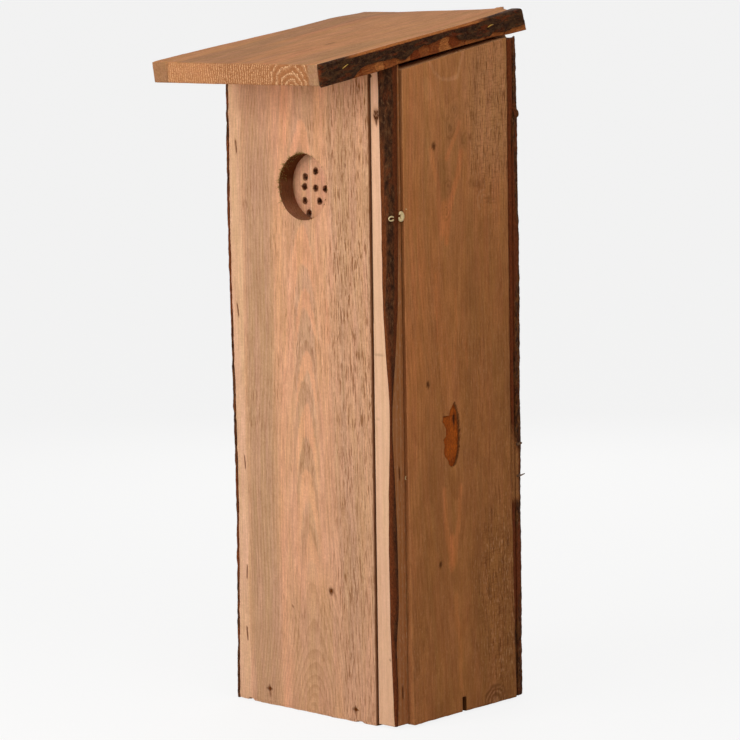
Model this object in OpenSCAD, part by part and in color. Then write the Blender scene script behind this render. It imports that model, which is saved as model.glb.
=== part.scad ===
// Woodpecker nest box of rough-sawn boards with live edges.
// Millimetres, +Z up. The origin is the middle of the base. The entrance faces -Y,
// the side door is on +X and the tree is behind the back board, on +Y.

/* [Box] */
// Overall width, from the front board's bark to the door's outer face
box_w = 168; // [140:1:220]
// Overall depth, from the front board's face to the back board's face
box_d = 150.5; // [130:0.5:200]
// Height of the front board at its face
wall_h = 488.5; // [400:0.5:600]
// Thickness of the front, side and back boards
wall_t = 15.5; // [13:0.5:22]
// Thickness of the floor board
floor_t = 15.5; // [12:0.5:24]
// How far the hidden side board's face lies inside the front board's bark edge
side_inset = 2; // [0:0.5:4]

/* [Front board] */
// How much narrower the front board is at its foot
front_taper = 1.6; // [0:0.2:4]
// Thickness of the bark left on the front board's edge
front_bark_t = 2.2; // [1.5:0.1:3]
// How far the live edge swings in along the front board
live_swing = 3; // [0:0.2:6]

/* [Entrance] */
// Diameter of the entrance hole
hole_d = 50; // [32:1:60]
// Depth of its middle below the front board's top
hole_drop = 89; // [70:0.5:160]
// How far its middle lies right of the front board's middle
hole_shift = 6.35; // [-10:0.05:10]

/* [Peck-out panel] */
// Width of the panel behind the entrance hole
panel_w = 78; // [64:1:90]
// Height of the panel
panel_h = 96; // [66:1:110]
// Thickness of the panel
panel_t = 9; // [6:0.5:12]
// Diameter of the starter holes
peck_d = 5; // [3:0.5:6]
// Spacing of the starter holes round the middle one
peck_r = 11.5; // [8:0.5:15]
// How far the middle starter hole lies left of the entrance's middle
peck_shift = 1.5; // [-4:0.5:4]
// How far the middle starter hole lies below the entrance's middle
peck_drop = 2; // [-4:0.5:4]

/* [Corner post] */
// Width of the corner post at its top
post_w = 15.2; // [12:0.1:24]
// Depth of the corner post
post_d = 13.9; // [10:0.1:14.9]
// How far the post's face lies behind the front board's face
post_back = 1.5; // [0.5:0.1:3]
// How far the post's side lies inside the door's outer face
post_step = 2.8; // [1:0.1:5]
// Gap of the joint between the front board and the post
post_gap = 0.7; // [0.2:0.1:0.9]
// Height of the post's foot above the ground
post_foot = 0.8; // [0:0.1:2]
// Thickness of the post's bark
post_bark_t = 2; // [1:0.1:3]

/* [Side door] */
// Thickness of the side door
door_t = 16; // [13:0.5:20]
// Gap between the door and the corner post
door_gap_front = 0.6; // [0.4:0.1:1.5]
// Gap between the door and the back board
door_gap_back = 1; // [0.4:0.1:2]
// Gap between the door's top and the roof
door_gap_top = 3.9; // [3:0.1:8]
// Gap between the door's foot and the ground
door_foot = 0.6; // [0.4:0.1:3]
// Gap between the door and the floor board that it closes on
door_seat = 0.3; // [0.2:0.1:0.5]
// Width of the slot in the door's lower edge
slot_w = 4; // [3:0.5:4]
// Height of the slot
slot_h = 11; // [6:0.5:16]
// Depth of the bark pocket in the door's face
pocket_t = 2.6; // [1:0.1:5]

/* [Door pivot] */
// Depth of the pivot nails below the front board's top
pivot_drop = 34; // [30:0.5:60]
// Depth of the pivot behind the door's outer face
pivot_in = 12.6; // [8:0.1:13]
// Shank diameter of the pivot nails
pivot_d = 3; // [2:0.1:3.4]
// Head diameter of the pivot nails
pivot_head_d = 4.4; // [3.6:0.1:6]
// Running clearance of the door on the nails, on the radius
pivot_clear = 0.05; // [0.03:0.01:0.1]
// Length of the front pivot nail
front_nail_l = 45; // [35:1:60]
// Length of the rear pivot nail
rear_nail_l = 50; // [38:1:60]

/* [Roof] */
// Thickness of the roof board
roof_t = 16; // [12:0.5:22]
// Slope of the roof, down to the front
roof_slope = 8.7; // [5:0.1:12]
// Overhang in front of the front board
roof_front = 68.5; // [30:0.5:90]
// Overhang past the front board's left edge
roof_left = 4.5; // [0:0.5:15]
// Distance of the roof's sawn wood inside the door's outer face
roof_right_in = 1.5; // [0:0.1:3]
// Width that the log's bare round edge takes off the roof's top at the front left corner
wane_front_w = 1.5; // [1:0.5:10]
// The same at the rear left corner
wane_rear_w = 13; // [4:0.5:20]
// Thickness of the bark on the roof's right edge
roof_bark_t = 3; // [2:0.1:4]

/* [Back board] */
// How far the back board's bark stands inside or past the door's outer face
back_bark_out = 0; // [-1:0.1:1]
// Thickness of the back board's bark
back_bark_t = 2.6; // [1.5:0.1:3.5]
// How far the log's round edge cuts in at the back face
back_wane = 5.5; // [3:0.5:9]
// Diameter of the two hanging holes
hang_d = 7; // [5:0.5:10]
// Depth of the upper hanging hole below the front board's top
hang_drop = 58.5; // [40:0.5:140]
// Height of the lower hanging hole
hang_low_h = 60; // [40:1:120]

/* [Fasteners] */
// Outer length of a staple's crown
staple_w = 9; // [7:0.5:12]
// Leg length of the long staples
staple_l = 34; // [24:1:40]
// Leg length of the short staples that hold the panel
short_staple_l = 18; // [12:1:20]
// Thickness of the staple wire
wire_t = 1.2; // [0.9:0.1:1.6]
// Shank diameter of the small nails
nail_d = 2.2; // [1.8:0.1:3]
// Length of the small nails
nail_l = 40; // [30:1:50]
// Head diameter of the nails
head_d = 5.4; // [4:0.1:7]
// Head thickness of the nails
head_t = 1; // [0.6:0.1:1.5]

/* [Hidden] */
$fn = 48;

// A length that is longer than the whole box, for cutting.
far = 4 * wall_h;
// How far a cutter runs past the face that it cuts.
over = 1;

front_y = -box_d / 2;
back_y = box_d / 2;
left_x = -box_w / 2;
door_x = box_w / 2;
door_in_x = door_x - door_t;
front_back_y = front_y + wall_t;
back_front_y = back_y - wall_t;
front_w = box_w - post_step - post_w - post_gap;
front_right_x = left_x + front_w;
side_x = left_x + side_inset;
side_in_x = side_x + wall_t;
side_mid_x = side_x + wall_t / 2;
floor_right_x = door_in_x - door_seat;
hole_x = left_x + front_w / 2 + hole_shift;
hole_h = wall_h - hole_drop;
peck_x = hole_x - peck_shift;
post_side_x = door_x - post_step;
post_front_y = front_y + post_back;
post_rear_y = post_front_y + post_d;
door_front_y = max(post_rear_y, front_back_y) + door_gap_front;
door_rear_y = back_front_y - door_gap_back;
door_mid_y = (door_front_y + door_rear_y) / 2;
pivot_x = door_x - pivot_in;
pivot_h = wall_h - pivot_drop;
hang_h = wall_h - hang_drop;
roof_left_x = left_x - roof_left;
roof_right_x = door_x - roof_right_in;
back_bark_x = door_x + back_bark_out;
back_right_x = back_bark_x - back_bark_t;
back_bulge_x = back_right_x + 0.15 * back_bark_t;
// The roof board is drawn flat and tilted about its underside's line over the front face.
roof_y0 = -roof_front / cos(roof_slope);
roof_y1 = box_d / cos(roof_slope);
roof_l = roof_y1 - roof_y0;

wood_light = [0.87, 0.68, 0.53];
wood_front = [0.80, 0.62, 0.48];
wood_side = [0.60, 0.41, 0.26];
wood_roof = [0.69, 0.49, 0.35];
bark_dark = [0.26, 0.16, 0.11];
steel = [0.45, 0.44, 0.43];

// Swing of the front board's live edge along its height: share of height, share of swing.
live_edge = [[0, 0], [0.05, 0.12], [0.12, 0.4], [0.19, 0.65], [0.27, 0.95], [0.34, 1],
             [0.44, 0.85], [0.52, 0.58], [0.6, 0.4], [0.68, 0.25], [0.76, 0], [0.84, 0.3],
             [0.92, 0.4], [1, 0.5], [1.1, 0.5]];
function live_x(z) = left_x + live_swing * lookup(z / wall_h, live_edge);

// The log's round corner that is left on the post: share of height, width of the cut on the
// front face and on the side face, both as shares of the post's depth.
post_wane = [[0, 0.05, 0.21], [0.05, 0.15, 0.28], [0.11, 0.2, 0.2], [0.14, 0.24, 0.26],
             [0.18, 0.25, 0.4], [0.23, 0.28, 0.42], [0.29, 0.27, 0.39], [0.34, 0.24, 0.32],
             [0.4, 0.17, 0.24], [0.45, 0.06, 0.11], [0.5, 0.07, 0.16], [0.54, 0.2, 0.36],
             [0.58, 0.31, 0.5], [0.61, 0.35, 0.58], [0.64, 0.42, 0.7], [0.7, 0.45, 0.74],
             [0.76, 0.45, 0.8], [0.86, 0.46, 0.82], [0.94, 0.52, 0.85], [1, 0.58, 0.88]];

// Places of the staples in the front board: share of height, offset from the middle of the
// side board's edge as a share of its thickness, tilt.
front_staple_at = [[0.875, 0.06, 4], [0.62, -0.07, 5], [0.38, 0.2, 3], [0.204, 0.19, -4],
                   [0.106, 0.13, 2]];
// Shares of the height at which the post is stapled to the front board.
post_staple_at = [0.052, 0.39];
// Shares of the height at which the back board is stapled to the side board.
back_staple_at = [0.1, 0.3, 0.5, 0.7, 0.9];
// Starter holes round the middle one: angle and share of the spacing, drilled by eye.
peck_at = [[89, 1.1], [142, 1.15], [177, 1], [221, 1.3], [249, 1.76], [292, 0.9], [0, 0.9],
           [32, 1.55]];

// Outline of the bark pocket: share of the door's depth, from its middle, and share of the
// front board's height.
pocket_at = [[-0.049, 0.485], [-0.019, 0.47], [-0.007, 0.448], [-0.008, 0.429],
             [-0.014, 0.41], [-0.038, 0.394], [-0.081, 0.386], [-0.12, 0.398],
             [-0.152, 0.41], [-0.159, 0.43], [-0.13, 0.447], [-0.163, 0.458],
             [-0.158, 0.473], [-0.14, 0.467], [-0.098, 0.465], [-0.08, 0.477]];

// Everything above the plane in which the roof board lies, moved up or down by lift.
module above_roof_line(lift) {
    translate([0, front_y, wall_h + lift])
        rotate([roof_slope, 0, 0])
        translate([-far / 2, -far / 2, 0])
        cube([far, far, far]);
}

// Draws its children, made flat with their underside on Z = 0, on the roof's slope.
module on_roof() {
    translate([0, front_y, wall_h]) rotate([roof_slope, 0, 0]) children();
}

// A staple driven along +Y, with the face of its crown on Y = 0 and the crown upright.
module staple(leg) {
    translate([-wire_t / 2, 0, -staple_w / 2]) cube([wire_t, wire_t, staple_w]);
    for (end = [-1, 1])
        translate([-wire_t / 2, 0, end * (staple_w - wire_t) / 2 - wire_t / 2])
            cube([wire_t, leg, wire_t]);
}

// A nail driven along +Y, with the face of its head on Y = 0.
module nail(shank_d, length, cap_d) {
    rotate([-90, 0, 0]) {
        cylinder(d = cap_d, h = head_t);
        cylinder(d = shank_d, h = length);
    }
}

// Wide board with the entrance hole. Its left edge follows the log.
module front_board() {
    steps = 24;
    top = wall_h + wall_t;
    color(wood_front)
        difference() {
            translate([0, front_back_y, 0])
                rotate([90, 0, 0])
                linear_extrude(wall_t)
                polygon(concat(
                    [for (i = [0:steps]) let (z = top * i / steps) [live_x(z) + front_bark_t, z]],
                    [[front_right_x, top], [front_right_x - front_taper, 0]]));
            above_roof_line(0);
            translate([hole_x, front_y - over, hole_h])
                rotate([-90, 0, 0])
                cylinder(d = hole_d, h = wall_t + 2 * over, $fn = 96);
        }
}

// Thin bark that is left along the front board's live edge.
module front_board_bark() {
    steps = 24;
    top = wall_h + wall_t;
    color(bark_dark)
        difference() {
            translate([0, front_back_y, 0])
                rotate([90, 0, 0])
                linear_extrude(wall_t)
                polygon(concat(
                    [for (i = [0:steps]) let (z = top * i / steps) [live_x(z), z]],
                    [for (i = [steps:-1:0]) let (z = top * i / steps)
                        [live_x(z) + front_bark_t, z]]));
            above_roof_line(0);
        }
}

// Soft panel behind the entrance, with starter holes, that the bird pecks out.
module peck_panel() {
    color(wood_side)
        difference() {
            translate([peck_x - panel_w / 2, front_back_y, hole_h - panel_h / 2])
                cube([panel_w, panel_t, panel_h]);
            translate([peck_x, front_back_y - over, hole_h - peck_drop]) {
                rotate([-90, 0, 0]) cylinder(d = peck_d, h = panel_t + 2 * over, $fn = 32);
                for (hole = peck_at)
                    translate([peck_r * hole[1] * cos(hole[0]), 0, peck_r * hole[1] * sin(hole[0])])
                        rotate([-90, 0, 0])
                        cylinder(d = peck_d, h = panel_t + 2 * over, $fn = 32);
            }
        }
}

// Four short staples that hold the panel from inside the box.
module peck_panel_staples() {
    edge_gap = panel_t;
    color(steel)
        for (side = [-1, 1], end = [-1, 1])
            translate([peck_x + side * (panel_w / 2 - edge_gap), front_back_y + panel_t,
                       hole_h + end * (panel_h / 2 - edge_gap)])
                rotate([0, 0, 180])
                staple(short_staple_l);
}

// Left face of the corner post, which follows the front board's tapered edge.
function post_left_x(z) = front_right_x - front_taper * (1 - z / wall_h) + post_gap;
// Height of ring i of the post at a place in depth: the last ring lies on the roof's line.
function post_z(share, y) = share < 1 ? post_foot + share * (wall_h - post_foot)
    : wall_h + (y - front_y) * tan(roof_slope);
// The five corners of the post's section at one height.
function post_ring(w) =
    let (cut_x = post_side_x - w[1] * post_d, cut_y = post_front_y + w[2] * post_d)
    [for (p = [[post_left_x(w[0] * wall_h), post_front_y], [cut_x, post_front_y],
               [post_side_x, cut_y], [post_side_x, post_rear_y],
               [post_left_x(w[0] * wall_h), post_rear_y]])
        [p[0], p[1], post_z(w[0], p[1])]];
// The bark's section: from the cut on the side face round to the cut on the front face.
function bark_ring(w) =
    let (a = w[1] * post_d, b = w[2] * post_d, span = norm([a, b]),
         out = [b, -a] / span, t = min(post_bark_t, span / 3),
         p0 = [post_side_x - a, post_front_y], p1 = [post_side_x, post_front_y + b],
         along = (p1 - p0))
    [for (p = [p1, p0 + along * 0.88 + out * t * 0.75, p0 + along * 0.5 + out * t,
               p0 + along * 0.12 + out * t * 0.75, p0])
        [p[0], p[1], post_z(w[0], p[1])]];
// Triangles of a tube of rings of n points each, closed at both ends.
function skin_faces(rings, n) = concat(
    [for (r = [0:rings - 2], i = [0:n - 1]) let (j = (i + 1) % n)
        [r * n + i, (r + 1) * n + i, r * n + j]],
    [for (r = [0:rings - 2], i = [0:n - 1]) let (j = (i + 1) % n)
        [r * n + j, (r + 1) * n + i, (r + 1) * n + j]],
    [for (i = [1:n - 2]) [0, i, i + 1]],
    [for (i = [1:n - 2]) [(rings - 1) * n, (rings - 1) * n + i + 1, (rings - 1) * n + i]]);

// Narrow post beside the door, sawn from a log's edge: its outer corner is round.
module corner_post() {
    color(wood_light)
        polyhedron([for (w = post_wane) each post_ring(w)], skin_faces(len(post_wane), 5));
}

// Bark on the post's round corner. Its rings run the other way round than the post's, so that
// both split the face where they meet along the same diagonals.
module corner_post_bark() {
    faces = [for (f = skin_faces(len(post_wane), 5)) [f[2], f[1], f[0]]];
    color(bark_dark)
        polyhedron([for (w = post_wane) each bark_ring(w)], faces);
}

// Plain board on the hidden side, covered by the front and back boards.
module left_side_board() {
    color(wood_front)
        difference() {
            translate([side_x, front_back_y, 0])
                cube([wall_t, back_front_y - front_back_y, wall_h + box_d]);
            above_roof_line(0);
        }
}

// Outline of the back board in plan. Its right edge is the log's round edge.
function back_outline() = [[side_x, back_front_y], [back_right_x, back_front_y],
    [back_bulge_x, back_front_y + wall_t * 0.35],
    [back_right_x - back_wane * 0.2, back_front_y + wall_t * 0.7],
    [back_right_x - back_wane, back_y], [side_x, back_y]];
function back_bark_outline() = [[back_right_x, back_front_y],
    [back_bark_x - back_bark_t * 0.2, back_front_y + wall_t * 0.03],
    [back_bark_x, back_front_y + wall_t * 0.35],
    [back_bark_x - back_wane * 0.1, back_front_y + wall_t * 0.7],
    [back_bark_x - back_wane * 0.9, back_y], [back_right_x - back_wane, back_y],
    [back_right_x - back_wane * 0.2, back_front_y + wall_t * 0.7],
    [back_bulge_x, back_front_y + wall_t * 0.35]];

// Back board, with two holes for hanging the box on a tree or wall.
module back_board() {
    color(wood_side)
        difference() {
            linear_extrude(wall_h + box_d) polygon(back_outline());
            above_roof_line(0);
            for (z = [hang_h, hang_low_h])
                translate([0, back_front_y - over, z])
                    rotate([-90, 0, 0])
                    cylinder(d = hang_d, h = wall_t + 2 * over);
        }
}

// Bark on the back board's round edge.
module back_board_bark() {
    color(bark_dark)
        difference() {
            linear_extrude(wall_h + box_d) polygon(back_bark_outline());
            above_roof_line(-door_gap_top);
        }
}

// Floor board between the walls, flush with their feet.
module floor_board() {
    color(wood_side)
        translate([side_in_x, front_back_y, 0])
        cube([floor_right_x - side_in_x, back_front_y - front_back_y, floor_t]);
}

// Roof board's section where the log's bare edge takes a width off its top.
module roof_section(cut_w) {
    polygon([[roof_left_x, 0], [roof_right_x, 0], [roof_right_x, roof_t],
             [roof_left_x + cut_w, roof_t],
             [roof_left_x, roof_t - min(cut_w, 0.7 * roof_t)]]);
}

// Roof board with its grain front to back. Its left edge is the log's bare round edge, which
// takes more off towards the rear.
module roof_board() {
    color(wood_roof)
        on_roof()
        rotate([90, 0, 0])
        hull() {
            translate([0, 0, -roof_y0 - over]) linear_extrude(over) roof_section(wane_front_w);
            translate([0, 0, -roof_y1]) linear_extrude(over) roof_section(wane_rear_w);
        }
}

// Side outline of the roof's bark: share of length, share of thickness of its lower edge.
roof_bark_low = [[0, 0], [0.1, 0.02], [0.15, 0.3], [0.24, 0.5], [0.31, 0.5], [0.35, 0.1],
                 [0.41, 0.12], [0.46, 0.5], [0.56, 0.38], [0.68, 0.5], [0.8, 0.4],
                 [0.92, 0.3], [1, 0.1]];

// Bark on the roof's right edge. Its lower part has come off behind the front end.
module roof_bark() {
    color(bark_dark)
        on_roof()
        translate([roof_right_x, 0, 0])
        rotate([90, 0, 90])
        linear_extrude(roof_bark_t)
        polygon(concat([for (p = roof_bark_low) [roof_y0 + roof_l * p[0], roof_t * p[1]]],
                       [[roof_y1, roof_t * 0.95], [roof_y0, roof_t * 0.97]]));
}

// Door that is the box's right side. It turns on two nails near its top.
module side_door() {
    bore_d = pivot_d + 2 * pivot_clear;
    front_bore = front_nail_l - (door_front_y - post_front_y) + over;
    rear_bore = rear_nail_l - (back_y - door_rear_y) + over;
    color(wood_side)
        difference() {
            translate([door_in_x, door_front_y, door_foot])
                cube([door_t, door_rear_y - door_front_y, wall_h + box_d]);
            above_roof_line(-door_gap_top);
            translate([door_in_x - over, door_mid_y - slot_w / 2, door_foot - over])
                cube([door_t + 2 * over, slot_w, slot_h + over]);
            translate([door_x + over, 0, 0])
                rotate([90, 0, -90])
                linear_extrude(pocket_t + over)
                polygon([for (p = pocket_at)
                    [-door_mid_y - p[0] * (door_rear_y - door_front_y), p[1] * wall_h]]);
            translate([pivot_x, door_front_y - over, pivot_h])
                rotate([-90, 0, 0])
                cylinder(d = bore_d, h = front_bore + over);
            translate([pivot_x, door_rear_y + over, pivot_h])
                rotate([90, 0, 0])
                cylinder(d = bore_d, h = rear_bore + over);
        }
}

// Nail through the corner post into the door's front edge.
module front_pivot_nail() {
    color(steel)
        translate([pivot_x, post_front_y, pivot_h])
        nail(pivot_d, front_nail_l, pivot_head_d);
}

// Nail through the back board into the door's rear edge.
module rear_pivot_nail() {
    color(steel)
        translate([pivot_x, back_y, pivot_h])
        rotate([0, 0, 180])
        nail(pivot_d, rear_nail_l, pivot_head_d);
}

// Staples through the front board into the side board's edge.
module front_board_staples() {
    color(steel)
        for (s = front_staple_at)
            translate([side_mid_x + s[1] * wall_t, front_y, s[0] * wall_h])
                rotate([0, s[2], 0])
                staple(staple_l);
}

// Two nails through the front board into the floor board's edge.
module front_floor_nails() {
    spots = [[0.236, 0.72], [0.842, 0.54]];
    color(steel)
        for (p = spots)
            translate([left_x + front_w * p[0], front_y, floor_t * p[1]])
                nail(nail_d, nail_l, head_d);
}

// Staples through the post's side into the front board's edge.
module corner_post_staples() {
    color(steel)
        for (share = post_staple_at)
            translate([post_side_x, post_front_y + post_d * 0.63, share * wall_h])
                rotate([-4, 0, 90])
                staple(staple_l);
}

// Two nails through the side board into the floor board's edge.
module side_floor_nails() {
    color(steel)
        for (share = [-0.2, 0.2])
            translate([side_x, share * box_d, floor_t / 2])
                rotate([0, 0, -90])
                nail(nail_d, nail_l, head_d);
}

// Staples through the back board into the side board's edge.
module back_board_staples() {
    color(steel)
        for (share = back_staple_at)
            translate([side_mid_x, back_y, share * wall_h])
                rotate([0, 0, 180])
                staple(staple_l);
}

// Two nails through the back board into the floor board's edge.
module back_floor_nails() {
    color(steel)
        for (share = [-0.25, 0.25])
            translate([share * box_w, back_y, floor_t / 2])
                rotate([0, 0, 180])
                nail(nail_d, nail_l, head_d);
}

// Staples down through the roof into the upper edges of the front, side and back boards.
module roof_staples() {
    front_mid = wall_t / 2;
    back_mid = box_d - wall_t / 2;
    spots = [[0.13 * box_w, wall_t * 0.6, 90], [-0.28 * box_w, front_mid, 90],
             [0.26 * box_w, back_mid, 90], [-0.26 * box_w, back_mid, 90],
             [side_mid_x, box_d * 0.35, 0], [side_mid_x, box_d * 0.65, 0]];
    color(steel)
        on_roof()
        for (p = spots)
            translate([p[0], p[1] / cos(roof_slope), roof_t])
                rotate([0, 0, p[2]])
                rotate([-90, 0, 0])
                staple(staple_l);
}

front_board();
front_board_bark();
peck_panel();
peck_panel_staples();
corner_post();
corner_post_bark();
left_side_board();
back_board();
back_board_bark();
floor_board();
roof_board();
roof_bark();
side_door();
front_pivot_nail();
rear_pivot_nail();
front_board_staples();
front_floor_nails();
corner_post_staples();
side_floor_nails();
back_board_staples();
back_floor_nails();
roof_staples();
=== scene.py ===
import bpy
import numpy as np
from mathutils import Matrix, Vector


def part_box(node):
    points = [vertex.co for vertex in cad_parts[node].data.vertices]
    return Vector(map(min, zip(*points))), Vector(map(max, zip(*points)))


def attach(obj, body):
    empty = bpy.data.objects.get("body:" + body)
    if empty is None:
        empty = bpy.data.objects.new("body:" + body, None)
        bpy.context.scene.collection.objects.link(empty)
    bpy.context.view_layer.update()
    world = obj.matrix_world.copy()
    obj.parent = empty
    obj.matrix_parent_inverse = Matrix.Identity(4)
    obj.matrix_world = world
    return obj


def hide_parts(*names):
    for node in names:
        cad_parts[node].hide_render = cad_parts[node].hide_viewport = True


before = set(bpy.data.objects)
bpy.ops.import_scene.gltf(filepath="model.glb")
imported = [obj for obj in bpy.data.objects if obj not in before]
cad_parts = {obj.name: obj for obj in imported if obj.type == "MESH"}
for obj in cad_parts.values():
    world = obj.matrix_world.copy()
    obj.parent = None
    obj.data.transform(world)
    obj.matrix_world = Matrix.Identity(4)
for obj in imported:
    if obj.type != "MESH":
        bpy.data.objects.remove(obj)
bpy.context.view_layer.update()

# Camera. It stands to the right of the box and a little above it, far off with a long lens, as
# in the photograph. Its three angles and its place come from the box's own edges.
MM = 0.001
yaw, pitch, roll = np.radians([43.05, 7.52, 0.947])
ahead = np.array([-np.sin(yaw) * np.cos(pitch), np.cos(yaw) * np.cos(pitch), -np.sin(pitch)])
level = np.array([np.cos(yaw), np.sin(yaw), 0.0])
right = np.cos(roll) * level - np.sin(roll) * np.cross(level, ahead)
eye = np.array([1660.73, -1785.97, 576.23]) * MM
camera = bpy.data.objects.new("camera", bpy.data.cameras.new("camera"))
camera.data.sensor_width = 36
camera.data.lens = 156.16
turn = np.column_stack([right, np.cross(right, ahead), -ahead, eye])
camera.matrix_world = Matrix([*turn.tolist(), [0, 0, 0, 1]])
bpy.context.scene.collection.objects.link(camera)
bpy.context.scene.camera = camera
bpy.context.scene.view_settings.view_transform = "Standard"


# Studio. A large soft box in front at the roof's height, weaker ones high on the right and
# behind on the left, an even pale room, and a wide pale floor that keeps the box's shadow.
def linear(colour):
    """A hex sRGB colour as linear red, green, blue and alpha 1: the sRGB curve's two branches."""
    c = np.array([int(colour[i:i + 2], 16) for i in (1, 3, 5)]) / 255
    c = np.where(c <= 0.04045, c / 12.92, ((c + 0.055) / 1.055) ** 2.4)
    return (*c, 1.0)


def add_node(tree, kind, inputs=None, stops=(), **settings):
    """Adds a node of a kind to a tree, sets its fields and its ramp's stops, and gives each of
    its inputs a number, a hex colour or a link. A node stands for its first output."""
    node = tree.nodes.new(kind)
    for field, value in settings.items():
        setattr(node, field, value)
    for place, value in stops[2:]:
        node.color_ramp.elements.new(place)
    for element, (place, value) in zip(node.color_ramp.elements if stops else (), stops):
        element.position, element.color = place, value
    for key, value in (inputs or {}).items():
        value = value.outputs[0] if isinstance(value, bpy.types.Node) else value
        if isinstance(value, bpy.types.NodeSocket):
            tree.links.new(value, node.inputs[key])
        else:
            node.inputs[key].default_value = linear(value) if isinstance(value, str) else value
    return node


for name, watts, place, spin, tip in (("soft_box_front", 9.6, (-0.24, -1.16, 0.62), -12, 80),
                                      ("soft_box_right", 4.6, (0.75, -0.35, 1.12), 62, 44),
                                      ("soft_box_rear", 4.4, (-0.75, 0.95, 0.75), -142, 68)):
    light = bpy.data.lights.new(name, "AREA")
    light.shape, light.size, light.energy = "SQUARE", 0.8, watts
    lamp = bpy.data.objects.new(name, light)
    lamp.matrix_world = Matrix.Translation(place) @ Matrix.Rotation(
        np.radians(spin), 4, "Z") @ Matrix.Rotation(np.radians(tip), 4, "X")
    bpy.context.scene.collection.objects.link(lamp)


def seen_white(tree, strength, matt):
    """Joins a matt shader with a white glow that only a camera, a mirror or glass looks at."""
    path = add_node(tree, "ShaderNodeLightPath")
    share = path.outputs["Is Camera Ray"]
    for ray in ("Is Glossy Ray", "Is Transmission Ray"):
        share = add_node(tree, "ShaderNodeMath", {0: share, 1: path.outputs[ray]},
                         operation="MAXIMUM")
    share = add_node(tree, "ShaderNodeMath", {0: share, 1: strength}, operation="MULTIPLY")
    glow = add_node(tree, "ShaderNodeEmission", {"Color": "#FFFFFF", "Strength": 1.0})
    return add_node(tree, "ShaderNodeMixShader", {0: share, 1: matt, 2: glow})


def new_material(name):
    """An empty material and its tree of nodes."""
    material = bpy.data.materials.new(name)
    material.use_nodes = True
    material.node_tree.nodes.clear()
    return material, material.node_tree


room = bpy.data.worlds.new("pale_room")
room.use_nodes = True
bpy.context.scene.world = room
tree = room.node_tree
tree.nodes.clear()
dim = add_node(tree, "ShaderNodeBackground", {"Color": "#FFFFFF", "Strength": 0.24})
add_node(tree, "ShaderNodeOutputWorld", {"Surface": seen_white(tree, 1.0, dim)})

# The front board's foot hangs lower than the floor board, so the studio's floor does too.
half, ground = 60.0, -1.7 * MM
floor_mesh = bpy.data.meshes.new("studio_floor")
floor_mesh.from_pydata([(-half, -half, ground), (half, -half, ground), (half, half, ground),
                        (-half, half, ground)], [], [(0, 1, 2, 3)])
studio_floor = bpy.data.objects.new("studio_floor", floor_mesh)
bpy.context.scene.collection.objects.link(studio_floor)
paint, tree = new_material("pale_matt_paint")
matt = add_node(tree, "ShaderNodeBsdfDiffuse", {"Color": "#E8E6E2"})
add_node(tree, "ShaderNodeOutputMaterial", {"Surface": seen_white(tree, 0.86, matt)})
floor_mesh.materials.append(paint)


# Front board. A wide board of rough-sawn Douglas fir, nailed to the floor board and stapled to
# the side board. Its left edge is the log's own edge, and the entrance is bored through it.
touch = 1e-6  # Points on one axis nearer than this in mm are at the same place.
scatter = np.random.default_rng(11).random((32, 32, 32))


def lumps(points, size, octaves=2):
    """Smooth noise from -1 to 1 at points in mm: random values on a lattice whose cells have the
    given size, joined by smoothstep weights. Each further octave is half as wide and strong."""
    total = np.zeros(points.shape[:-1])
    for k in range(octaves):
        q = points * 2**k / np.asarray(size, float) + 11.7 * k + 5.3
        cell = np.floor(q).astype(int)
        f = q - cell
        f = f * f * (3 - 2 * f)
        value = 0
        for corner in np.ndindex(2, 2, 2):
            weight = np.where(corner, f, 1 - f).prod(-1)
            i, j, m = np.moveaxis((cell + corner) % 32, -1, 0)
            value = value + weight * scatter[i, j, m]
        total += (2 * value - 1) / 2**k
    return total


def ease(value, start, end):
    """0 before start, 1 after end, and a smoothstep between them. Start may be above end."""
    t = np.clip((value - start) / (end - start), 0, 1)
    return t * t * (3 - 2 * t)


def at(values, *stops):
    """Where values lie on one of the stops."""
    return np.any([np.abs(values - stop) < touch for stop in stops], axis=0)


def spaced(stops, gaps):
    """Grid lines from stop to stop, evenly set in each stretch at about its own gap."""
    stretches = [np.linspace(a, b, max(1, round((b - a) / gap)) + 1)[:-1]
                 for a, b, gap in zip(stops[:-1], stops[1:], gaps)]
    return np.append(np.concatenate(stretches), stops[-1])


def through(low, high, gap):
    """Grid lines through a board, closer in its outer millimetre, where its edges are worn."""
    return spaced([low, low + 1, high - 1, high], [0.5, gap, 0.5])


def box_grids(lines):
    """A box's six faces as grids of points, facing outwards, from its lines on three axes."""
    grids = []
    for axis in range(3):
        b, c = (axis + 1) % 3, (axis + 2) % 3
        for end in (0, -1):
            grid = np.empty((len(lines[b]), len(lines[c]), 3))
            grid[..., b], grid[..., c] = np.meshgrid(lines[b], lines[c], indexing="ij")
            grid[..., axis] = lines[axis][end]
            grids.append(grid if end else grid[::-1])
    return grids


def weld(grids, opening=None):
    """Joins grids of points to one surface. Points that meet become one, and keep what they carry
    after x, y and z. An opening takes its faces out of the box's six grids, which come first."""
    points = np.concatenate([grid.reshape(-1, grid.shape[2]) for grid in grids])
    faces, start = [], 0
    for order, grid in enumerate(grids):
        n, m = grid.shape[:2]
        k = start + np.arange(n * m).reshape(n, m)
        quads = np.stack([k[:-1, :-1], k[1:, :-1], k[1:, 1:], k[:-1, 1:]], -1).reshape(-1, 4)
        faces.append(quads[~opening(points[quads].mean(1))] if opening and order < 6 else quads)
        start += n * m
    _, first, back = np.unique(points[:, :3].round(4), axis=0, return_index=True,
                               return_inverse=True)
    faces = back.reshape(-1)[np.concatenate(faces)]
    used, faces = np.unique(faces, return_inverse=True)
    return points[first][used], faces.reshape(-1, 4)


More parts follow.
